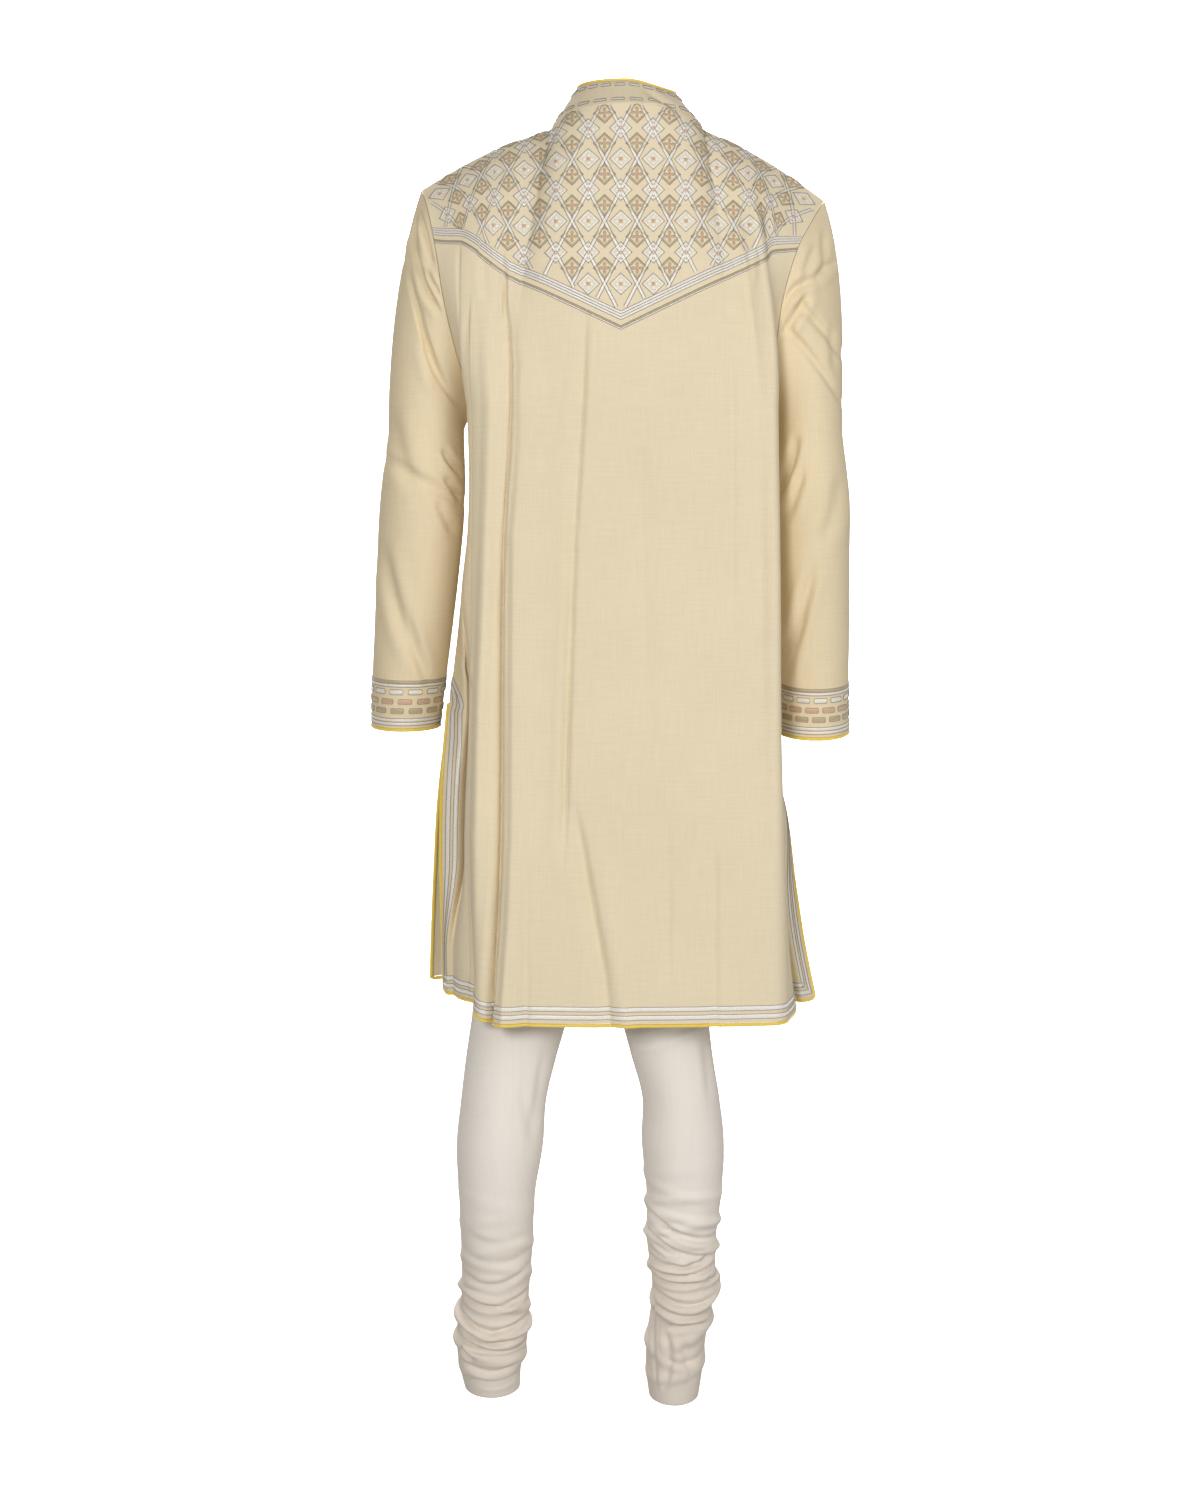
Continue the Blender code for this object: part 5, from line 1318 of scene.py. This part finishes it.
def stretches(path, keep, shortest=4):
    """The unbroken stretches of a path that are kept."""
    edges = np.flatnonzero(np.diff(np.concatenate([[0], keep.astype(int), [0]])))
    return [path[start:end] for start, end in zip(edges[::2], edges[1::2]) if end - start >= shortest]


PETAL_FROM = 0.0020
PETAL_TO = 0.0066
PETAL_WIDTH = 0.0040
PETAL_HEIGHT = 0.0011
PETAL_TAPER = np.array([0.4, 0.9, 1.0, 0.8, 0.3])
EYE_RADIUS = 0.0013
EYE_WIDTH = 0.0022
EYE_HEIGHT = 0.0015
INNER_SHARE = 0.29
INNER_STEP = 0.0040
INNER_WIDTH = 0.0021
INNER_CORD_OUT = 0.0014


def flower(cloth, u, v, floss):
    """Four petals round a copper ring, inside a small diamond of floss."""
    reach = np.linspace(PETAL_FROM, PETAL_TO, len(PETAL_TAPER))
    for number in range(4):
        turn = number * math.pi / 2
        petal = np.stack([u + reach * math.cos(turn), v + reach * math.sin(turn)], axis=-1)
        floss.lay(cloth, petal, PETAL_WIDTH, PETAL_HEIGHT, taper=PETAL_TAPER)
    turns = np.linspace(0, 2 * math.pi, 9)[:-1]
    ring_path = np.stack([u + EYE_RADIUS * np.cos(turns), v + EYE_RADIUS * np.sin(turns)], axis=-1)
    yoke_copper.lay(cloth, ring_path, EYE_WIDTH, EYE_HEIGHT, closed=True)
    corners = np.array([[1, 0], [0, 1], [-1, 0], [0, -1], [1, 0]])
    corners = corners * (DIAMOND_WIDTH * INNER_SHARE, DIAMOND_HEIGHT * INNER_SHARE)
    inner = spaced(corners + (u, v), INNER_STEP)[:-1]
    floss.lay(cloth, inner, INNER_WIDTH, RAISED_FLOSS, closed=True)
    yoke_cord.lay(cloth, beside(inner, INNER_CORD_OUT, closed=True), CORD_WIDTH, RAISED_CORD, closed=True)


HALF_DIAMOND = DIAMOND_HEIGHT / 2
TRELLIS_REACH = 0.27
EDGE_REACH = 0.262
for made, edge in ((back, yoke_edge), (front, front_yoke_edge)):
    v = np.linspace(-0.02, YOKE_TIP_DROP + 0.01, 110)
    for number in range(-16, 17):
        for lean in (1, -1):
            u = YOKE_TIP + DIAMOND_WIDTH * (number + lean * (v - YOKE_TIP_DROP) / DIAMOND_HEIGHT / 2)
            path = np.stack([u, v], axis=-1)
            path = path[np.abs(u) < TRELLIS_REACH]
            if len(path) < 8:
                continue
            for run in stretches(path, inside(made, path, edge, TRELLIS_MARGIN)):
                couched(made, run, TRELLIS_WIDTH, yoke_silver, yoke_cord)
    centres = np.array([
        (YOKE_TIP + (number + row % 2 / 2) * DIAMOND_WIDTH, YOKE_TIP_DROP - row * HALF_DIAMOND)
        for row in range(-1, 14) for number in range(-9, 10)
    ])
    for u, v in centres[inside(made, centres, edge, FLOWER_MARGIN)]:
        row = round((YOKE_TIP_DROP - v) / HALF_DIAMOND)
        flower(made, u, v, yoke_gold if row % 2 else yoke_silver)

    across = np.linspace(-EDGE_REACH, EDGE_REACH, 300)
    for line in EDGE_LINES:
        path = np.stack([across, edge(across) + line.gap], axis=-1)
        for run in stretches(path, on_cloth(made, path)[2] < ON_CLOTH):
            couched(made, run, line.width, yoke_gold if line.gold else yoke_silver, yoke_cord)
yoke_pieces = [
    yoke_silver.make("yoke_silver_thread", SILVER, "kurta_back"),
    yoke_gold.make("yoke_gold_thread", GOLD, "kurta_back"),
    yoke_copper.make("yoke_copper_thread", COPPER, "kurta_back"),
    yoke_cord.make("yoke_grey_cord", CORD, "kurta_back"),
]


# Churidar trousers. Fine off-white cotton, cut on the bias and much longer than the leg, so that the
# spare length gathers in tight folds above the ankles. Each leg carries half of the seat, and its
# bottom edge is turned in and stitched.
CROTCH_DROP = 0.815
HIP_X = 0.021
WAIST_DROP = 0.470
WAIST_HALF_WIDTH = 0.128
WAIST_Y = -0.006
WAIST_HALF_DEPTH = 0.090
WAIST_SHARE = 0.4
# The way a leg leaves the waist, and the way it leaves the seam between the legs, out and down
WAIST_OUT = 0.10
WAIST_DOWN = 0.85
RISE_OUT = 0.75
RISE_DOWN = 0.55
LEGS = {
    1: (
        Ring(0.880, 0.1020, -0.004, 0.0660, 0.080, 0.00),
        Ring(0.950, 0.1100, -0.002, 0.0590, 0.070, 0.00),
        Ring(1.047, 0.1195, 0.000, 0.0562, 0.060, 0.00),
        Ring(1.094, 0.1295, 0.000, 0.0531, 0.057, 0.00),
        Ring(1.145, 0.1385, 0.002, 0.0502, 0.057, 0.00),
        Ring(1.195, 0.1428, 0.002, 0.0510, 0.057, 0.00),
        Ring(1.260, 0.1468, -0.002, 0.0448, 0.052, 0.00),
        Ring(1.321, 0.1472, -0.008, 0.0424, 0.047, 0.00),
        Ring(1.380, 0.1495, -0.014, 0.0400, 0.045, -0.03),
        Ring(1.446, 0.1545, -0.020, 0.0415, 0.043, -0.05),
        Ring(1.474, 0.1560, -0.022, 0.0365, 0.040, -0.06),
        Ring(1.497, 0.1538, -0.024, 0.0332, 0.038, -0.08),
    ),
    -1: (
        Ring(0.880, -0.0470, -0.004, 0.0660, 0.080, 0.00),
        Ring(0.950, -0.0490, -0.004, 0.0570, 0.070, 0.00),
        Ring(1.047, -0.0507, -0.008, 0.0515, 0.058, 0.00),
        Ring(1.094, -0.0590, -0.010, 0.0480, 0.056, 0.00),
        Ring(1.145, -0.0697, -0.012, 0.0455, 0.056, 0.00),
        Ring(1.195, -0.0722, -0.014, 0.0486, 0.056, 0.00),
        Ring(1.260, -0.0740, -0.018, 0.0446, 0.052, 0.00),
        Ring(1.321, -0.0712, -0.024, 0.0410, 0.047, 0.00),
        Ring(1.380, -0.0742, -0.030, 0.0372, 0.045, -0.03),
        Ring(1.446, -0.0655, -0.036, 0.0352, 0.041, -0.05),
        Ring(1.482, -0.0634, -0.038, 0.0340, 0.039, -0.06),
        Ring(1.513, -0.0630, -0.040, 0.0300, 0.037, -0.08),
    ),
}

# Folds of cloth gathered along the lower legs: where they are highest round the leg, the drop there,
# how far they fall to either side, their half width and height, and the share of the round they take
LEG_ROLLS = (
    Roll(1, 0.30, 1.262, 0.012, 0.014, 0.0008, 0.75),
    Roll(1, 0.10, 1.285, -0.010, 0.011, 0.0009, 0.80),
    Roll(1, 0.32, 1.306, 0.012, 0.011, 0.0012, 0.80),
    Roll(1, 0.12, 1.325, -0.014, 0.011, 0.0014, 0.80),
    Roll(1, 0.38, 1.345, 0.014, 0.011, 0.0022, 0.90),
    Roll(1, 0.05, 1.366, -0.014, 0.011, 0.0034, 0.90),
    Roll(1, 0.28, 1.384, 0.012, 0.010, 0.0048, 0.85),
    Roll(1, 0.02, 1.405, 0.014, 0.013, 0.0071, 0.95),
    Roll(1, 0.40, 1.424, -0.012, 0.011, 0.0057, 0.95),
    Roll(1, 0.14, 1.444, 0.012, 0.011, 0.0045, 0.90),
    Roll(1, 0.36, 1.464, -0.008, 0.010, 0.0032, 0.85),
    Roll(-1, 0.40, 1.228, 0.010, 0.014, 0.0008, 0.80),
    Roll(-1, 0.30, 1.248, -0.012, 0.011, 0.0014, 0.85),
    Roll(-1, 0.45, 1.266, 0.012, 0.010, 0.0026, 0.90),
    Roll(-1, 0.20, 1.284, -0.010, 0.010, 0.0040, 0.90),
    Roll(-1, 0.42, 1.302, 0.012, 0.010, 0.0044, 0.90),
    Roll(-1, 0.10, 1.320, -0.010, 0.011, 0.0045, 0.90),
    Roll(-1, 0.35, 1.340, 0.014, 0.010, 0.0045, 0.90),
    Roll(-1, 0.08, 1.358, -0.012, 0.011, 0.0053, 0.92),
    Roll(-1, 0.02, 1.380, 0.012, 0.014, 0.0076, 0.92),
    Roll(-1, 0.30, 1.404, -0.012, 0.013, 0.0048, 0.90),
    Roll(-1, 0.12, 1.428, 0.014, 0.014, 0.0040, 0.88),
    Roll(-1, 0.36, 1.454, -0.012, 0.013, 0.0034, 0.85),
    Roll(-1, 0.16, 1.478, 0.008, 0.011, 0.0025, 0.80),
)
# The photograph's camera, from the size and the tilt that it shows: its place, its lens and its picture
CAMERA_X = 0.0254
CAMERA_Y = 3.0
CAMERA_DROP = 0.356
PHOTO_WIDTH = 1200
PHOTO_HEIGHT = 1500
FOCAL_PIXELS = 2600
LENS_SHIFT = -0.08
TILT_PIXELS = 205
TILT = math.atan(TILT_PIXELS / FOCAL_PIXELS)
# The tucks of the shins, each as it lies in the photograph: its start, middle and end there in pixels,
# then its half width, height and lips in metres. Those for both sides are on the fronts too, where each
# is moved and tilted by chance, and the first few of the left leg are deeper there
SEEN = "back"
UNSEEN = "front"
BOTH = "both"
Tuck = namedtuple("Tuck", "side places half_width height left_lip right_lip")
SHIN_TUCKS = {
    1: (
        Tuck(SEEN, ((520, 1080), (528, 1110), (533, 1142)), 0.0055, -0.0014, 0.0006, 0.0006),
        Tuck(SEEN, ((545, 1050), (538, 1090), (533, 1130)), 0.0045, -0.0014, 0.0006, 0.0006),
        Tuck(SEEN, ((463, 1228), (495, 1240), (528, 1232)), 0.0056, -0.0012, 0.0004, 0.0004),
        Tuck(UNSEEN, ((463, 1228), (495, 1240), (528, 1232)), 0.0056, -0.0022, 0.0007, 0.0007),
        Tuck(SEEN, ((462, 1249), (490, 1262), (530, 1250)), 0.0048, -0.0018, 0.0006, 0.0006),
        Tuck(UNSEEN, ((462, 1249), (490, 1262), (530, 1250)), 0.0048, -0.0035, 0.0013, 0.0013),
        Tuck(SEEN, ((461, 1272), (494, 1284), (527, 1266)), 0.0040, -0.0030, 0.0010, 0.0010),
        Tuck(UNSEEN, ((461, 1272), (494, 1284), (527, 1266)), 0.0040, -0.0046, 0.0015, 0.0015),
        Tuck(BOTH, ((456, 1292), (490, 1307), (528, 1292)), 0.0036, -0.0062, 0.0022, 0.0022),
        Tuck(BOTH, ((456, 1311), (485, 1331), (528, 1318)), 0.0032, -0.0076, 0.0028, 0.0028),
        Tuck(BOTH, ((454, 1325), (482, 1342), (528, 1337)), 0.0027, -0.0081, 0.0030, 0.0028),
        Tuck(BOTH, ((457, 1341), (490, 1351), (529, 1346)), 0.0024, -0.0076, 0.0025, 0.0025),
        Tuck(BOTH, ((470, 1331), (486, 1335), (502, 1330)), 0.0022, -0.0046, 0.0015, 0.0015),
        Tuck(BOTH, ((460, 1352), (467, 1361), (474, 1362)), 0.0029, -0.0081, 0.0025, 0.0025),
        Tuck(BOTH, ((464, 1366), (490, 1375), (522, 1366)), 0.0037, -0.0043, 0.0015, 0.0015),
        Tuck(BOTH, ((480, 1387), (498, 1389), (514, 1384)), 0.0032, -0.0024, 0.0010, 0.0010),
    ),
    -1: (
        Tuck(SEEN, ((630, 1045), (660, 1036), (690, 1021)), 0.0045, -0.0020, 0.0010, 0.0010),
        Tuck(SEEN, ((640, 1036), (672, 1028), (706, 1023)), 0.0040, -0.0016, 0.0008, 0.0008),
        Tuck(SEEN, ((704, 1040), (708, 1070), (710, 1100)), 0.0050, -0.0016, 0.0008, 0.0008),
        Tuck(BOTH, ((646, 1212), (680, 1236), (719, 1243)), 0.0036, -0.0051, 0.0020, 0.0020),
        Tuck(BOTH, ((642, 1226), (666, 1250), (718, 1257)), 0.0030, -0.0065, 0.0025, 0.0022),
        Tuck(BOTH, ((650, 1243), (670, 1257), (702, 1263)), 0.0022, -0.0046, 0.0018, 0.0015),
        Tuck(BOTH, ((647, 1262), (680, 1269), (719, 1258)), 0.0027, -0.0068, 0.0025, 0.0022),
        Tuck(BOTH, ((650, 1273), (684, 1279), (719, 1269)), 0.0024, -0.0062, 0.0022, 0.0022),
        Tuck(BOTH, ((651, 1284), (680, 1289), (712, 1281)), 0.0027, -0.0068, 0.0025, 0.0022),
        Tuck(BOTH, ((654, 1297), (684, 1309), (718, 1301)), 0.0032, -0.0076, 0.0028, 0.0028),
        Tuck(BOTH, ((700, 1286), (711, 1288), (721, 1280)), 0.0029, -0.0081, 0.0025, 0.0025),
        Tuck(BOTH, ((655, 1311), (685, 1322), (716, 1318)), 0.0030, -0.0057, 0.0022, 0.0022),
        Tuck(BOTH, ((668, 1337), (690, 1332), (708, 1335)), 0.0040, -0.0041, 0.0015, 0.0015),
        Tuck(BOTH, ((662, 1362), (682, 1372), (702, 1366)), 0.0048, -0.0032, 0.0013, 0.0013),
        Tuck(BOTH, ((656, 1300), (654, 1345), (659, 1396)), 0.0018, -0.0022, 0.0007, 0.0007),
        Tuck(BOTH, ((664, 1340), (670, 1368), (662, 1398)), 0.0040, -0.0032, 0.0013, 0.0013),
        Tuck(BOTH, ((684, 1345), (689, 1370), (694, 1392)), 0.0048, -0.0024, 0.0010, 0.0010),
    ),
}
SHIN_BACK_Y = 0.03
SHIN_MIDDLE_Y = 0.0
# How far past both its ends a tuck's crease runs, and how far in pixels those of the fronts move and tilt
TUCK_PAST = 0.12
TUCK_MOVES = 7
TUCK_TILTS = 9
FRONT_SEEDS = {1: 5, -1: 9}


def through_camera(place, y):
    """The x and the drop of a place in the photograph, for cloth that is at y."""
    away = CAMERA_Y - y
    below_middle = place[1] - PHOTO_HEIGHT * (0.5 + LENS_SHIFT)
    fall = away * math.tan(math.atan(below_middle / FOCAL_PIXELS) + TILT)
    depth = away * math.cos(TILT) + fall * math.sin(TILT)
    return np.array([CAMERA_X - (place[0] - PHOTO_WIDTH / 2) * depth / FOCAL_PIXELS, CAMERA_DROP + fall])


def tuck_crease(face, tuck, y, moved=0.0, tilted=0.0, share=1.0):
    """A tuck as a crease of the cloth."""
    start, middle, end = (
        through_camera((across, down + shift), y)
        for (across, down), shift in zip(tuck.places, (moved + tilted, moved, moved - tilted))
    )
    along = end - start
    off = middle - start
    bow = (off[0] * along[1] - off[1] * along[0]) / math.hypot(*along)
    ends = (*(start - TUCK_PAST * along), *(end + TUCK_PAST * along))
    return Crease(face, *ends, bow, tuck.half_width, tuck.height * share, tuck.left_lip, tuck.right_lip)


def leg_creases(side):
    """The creases of a leg: the back's from the photograph, and the front's by chance from them."""
    tucks = SHIN_TUCKS[side]
    creases = [tuck_crease(1, tuck, SHIN_BACK_Y) for tuck in tucks if tuck.side != UNSEEN]
    chance = random.Random(FRONT_SEEDS[side])
    for tuck in tucks:
        if tuck.side != SEEN:
            moved = chance.uniform(-TUCK_MOVES, TUCK_MOVES)
            tilted = chance.uniform(-TUCK_TILTS, TUCK_TILTS)
            share = chance.uniform(0.7, 1.05)
            creases.append(tuck_crease(-1, tuck, SHIN_MIDDLE_Y, moved, tilted, share))
    return creases


LEG_COLUMNS = 120
LEG_ROWS = 430
HIP_SHARE = 0.30
# The turned hem: its first gap to the cloth and its drop there, its last gap, and the rows it goes up
HEM_GAP = 0.0006
HEM_TURN_DROP = 0.0005
HEM_THICK = 0.0013
HEM_ROWS = 14


def waist_and_rise(side, a):
    """The top edge of a trouser leg: half the waist, then the seam down through the crotch."""
    turn_sign = np.where(a <= 0.5, 1.0, -1.0)
    share = np.where(a <= 0.5, a * 2, (1 - a) * 2)
    round_waist = np.clip(share / WAIST_SHARE, 0, 1) * math.pi / 2
    down = np.clip((share - WAIST_SHARE) / (1 - WAIST_SHARE), 0, 1) * math.pi / 2
    x = HIP_X + side * (SEAM / 2 + WAIST_HALF_WIDTH * np.cos(round_waist))
    reach = np.where(down > 0, np.cos(down) ** 0.8, np.sin(round_waist))
    y = WAIST_Y + turn_sign * WAIST_HALF_DEPTH * reach
    drop = WAIST_DROP + (CROTCH_DROP - WAIST_DROP) * np.sin(down) ** 0.85
    return np.stack([x, y, -drop], axis=-1), down > 0


def leg(side, a, w):
    """A point of a trouser leg. w is 0 at the waist and rise, 1 at the thigh and 2 at the ankle."""
    rows = LEGS[side]
    start, on_rise = waist_and_rise(side, a)
    drop = rows[0].drop + (rows[-1].drop - rows[0].drop) * np.clip(w - 1, 0, 1)
    lower = ring(rows, side, a, drop)
    first = ring(rows, side, a, np.full_like(w, rows[0].drop))
    waist_lean = np.array([side * WAIST_OUT, 0.0, -WAIST_DOWN])
    rise_lean = np.array([side * RISE_OUT, 0.0, -RISE_DOWN])
    lean = np.where(on_rise[..., None], rise_lean, waist_lean)
    hip = bridge(start, first, lean, np.clip(w, 0, 1))
    point = np.where((w < 1)[..., None], hip, lower)
    middle_x = column(rows, -point[..., 2], "x")
    middle_y = column(rows, -point[..., 2], "y")
    return rolls(LEG_ROLLS, side, a, point, middle_x, middle_y)


def leg_cloth(side):
    """A leg's points and its flat pattern, from the inner seam round."""
    a = np.linspace(0.5, 1.5, LEG_COLUMNS + 1) % 1.0
    hip = np.linspace(0, 1, round(LEG_ROWS * HIP_SHARE) + 1)
    w = np.concatenate([hip, np.linspace(1, 2, round(LEG_ROWS * (1 - HIP_SHARE)) + 1)[1:]])
    levels, rounds = np.meshgrid(w, a, indexing="ij")
    points = leg(side, rounds, levels)
    middle = LEGS[side][3]
    points = creased(points, outward(points, middle.x, middle.y, closed=True), leg_creases(side))
    normal = outward(points, middle.x, middle.y, closed=True)

    # The turned hem goes in and back up inside the ankle
    turned = np.stack([
        points[-1] - normal[-1] * HEM_GAP - (0, 0, HEM_TURN_DROP),
        points[-1] - normal[-1] * HEM_THICK,
        points[-HEM_ROWS] - normal[-HEM_ROWS] * HEM_THICK,
    ])
    points = np.concatenate([points, turned])
    normal = outward(points, middle.x, middle.y, closed=True)
    down = run_length(points, 0)
    girth = run_length(points, 1)[:, -1:]
    u = np.linspace(0, 1, LEG_COLUMNS + 1)[None] * girth
    return spread_out(points, normal, u, down)


# The churidar cotton's own tone, then painted shade: from one height down to another the shins turn darker
# and warmer, standing in for the shade in their gathered folds
CHURIDAR_OWN_TONE = (0.90, 0.845, 0.775)
PAINTED_SHIN_SHADE = (0.785, 0.71, 0.62)
SHIN_SHADE_FROM = -1.26
SHIN_SHADE_TO = -1.38
WHITE = woven("off-white churidar cotton", CHURIDAR_OWN_TONE, 0.16, 0.88, 0.0002)
nodes, links = WHITE.node_tree.nodes, WHITE.node_tree.links
# Painted shade: by height, the cotton's own tone is mixed towards a darker, warmer one over the gathered
# shins
height = nodes.new("ShaderNodeSeparateXYZ")
links.new(nodes.new("ShaderNodeTexCoord").outputs["Object"], height.inputs[0])
painted_shin_shade_mask = ranged(nodes, links, height.outputs["Z"], SHIN_SHADE_FROM, SHIN_SHADE_TO, 0.0, 1.0)
tone = toned(nodes, links, painted_shin_shade_mask, ((0.0, CHURIDAR_OWN_TONE), (1.0, PAINTED_SHIN_SHADE)))
weave = next(node for node in nodes if node.bl_idname == "ShaderNodeGroup")
links.new(tone, weave.inputs["Colour"])
for word, side in (("left", 1), ("right", -1)):
    made = leg_cloth(side)
    piece = cloth_mesh("churidar_" + word + "_cloth", made.points, made.u, made.v, WHITE, closed=True)
    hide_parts("churidar_leg_" + word)


# Waistband. The casing for the drawstring, a double strip of the same cotton, drawn up in small
# gathers. It is hidden under the kurta.
WAISTBAND_HEIGHT = 0.036
WAISTBAND_THICK = 0.002
GATHERS = 60
GATHER_DEPTH = 0.0010
band_rises, band_turns = np.meshgrid(
    np.linspace(WAISTBAND_HEIGHT, 0.0006, 9), np.linspace(0, 2 * math.pi, 361), indexing="ij")
gather = GATHER_DEPTH * np.sin(band_turns * GATHERS) * np.sin(band_turns * 7 + 1)
band_points = np.stack([
    HIP_X + (WAIST_HALF_WIDTH + gather) * np.cos(band_turns),
    WAIST_Y + (WAIST_HALF_DEPTH + gather) * np.sin(band_turns),
    -WAIST_DROP + band_rises,
], axis=-1)
band_u = np.broadcast_to(run_length(band_points, 1)[4], band_rises.shape)
waistband = cloth_mesh("waistband_cloth", band_points, band_u, -band_rises, WHITE, closed=True)
doubled = waistband.modifiers.new("double cloth", "SOLIDIFY")
doubled.thickness = WAISTBAND_THICK
doubled.offset = 0.0
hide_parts("churidar_waistband")


# Floor and backdrop: one pale sheet that curves up behind the clothes.
FLOOR_DROP = 1.560
FLOOR_FRONT = 3.6
FLOOR_LENGTH = 6.0
SHEET_LENGTH = 11.0
SHEET_HALF_WIDTH = 7
BEND_LENGTH = 2.4
BEND_RADIUS = BEND_LENGTH / (math.pi / 2)
sheet = bmesh.new()
bmesh.ops.create_grid(sheet, x_segments=8, y_segments=60, size=1.0)
for vertex in sheet.verts:
    along = (1 - vertex.co.y) * SHEET_LENGTH / 2
    bend = min(max((along - FLOOR_LENGTH) / BEND_LENGTH, 0.0), 1.0) * math.pi / 2
    rise = max(along - FLOOR_LENGTH - BEND_LENGTH, 0.0)
    vertex.co.x = vertex.co.x * SHEET_HALF_WIDTH
    vertex.co.y = FLOOR_FRONT - min(along, FLOOR_LENGTH) - BEND_RADIUS * math.sin(bend)
    vertex.co.z = -FLOOR_DROP + BEND_RADIUS * (1 - math.cos(bend)) + rise
bmesh.ops.recalc_face_normals(sheet, faces=sheet.faces)
for face in sheet.faces:
    face.smooth = True
paper = new_material("white paper", {
    "Base Color": (0.92, 0.92, 0.93, 1.0),
    "Roughness": 0.9,
    "Emission Color": (1.0, 1.0, 1.0, 1.0),
    "Emission Strength": 0.5,
})[0]
backdrop = finished("backdrop", sheet, paper)
backdrop.visible_diffuse = False


# Light and camera: a bright even studio, with the stronger soft light from the upper left.
world = bpy.data.worlds.new("studio")
world.use_nodes = True
world.node_tree.nodes["Background"].inputs["Color"].default_value = (1.0, 0.96, 0.90, 1.0)
world.node_tree.nodes["Background"].inputs["Strength"].default_value = 0.30
bpy.context.scene.world = world
bpy.context.scene.view_settings.view_transform = "Standard"


def soft_light(name, place, aim, size, power):
    """A soft box aimed at a point."""
    lamp = bpy.data.lights.new(name, "AREA")
    lamp.shape = "DISK"
    lamp.size = size
    lamp.energy = power
    box = bpy.data.objects.new(name, lamp)
    box.location = place
    box.rotation_euler = (Vector(aim) - Vector(place)).to_track_quat("-Z", "Y").to_euler()
    bpy.context.collection.objects.link(box)


soft_light("key", (0.9, 4.2, 0.5), (0.0, 0.0, -0.8), 0.9, 88)
soft_light("fill", (-2.4, 3.0, 0.1), (0.0, 0.0, -0.8), 2.0, 44)
soft_light("front", (0.5, -3.2, 1.6), (0.0, 0.0, -0.6), 2.0, 60)
soft_light("wall", (0.0, -1.6, 1.8), (0.0, -4.6, -0.6), 3.0, 260)

SENSOR = 36
lens = bpy.data.cameras.new("camera")
lens.lens = FOCAL_PIXELS / PHOTO_HEIGHT * SENSOR
lens.sensor_width = SENSOR
lens.shift_y = LENS_SHIFT
camera = bpy.data.objects.new("camera", lens)
camera.location = (CAMERA_X, CAMERA_Y, -CAMERA_DROP)
camera.rotation_euler = (math.pi / 2 - TILT, 0, math.pi)
bpy.context.collection.objects.link(camera)
bpy.context.scene.camera = camera
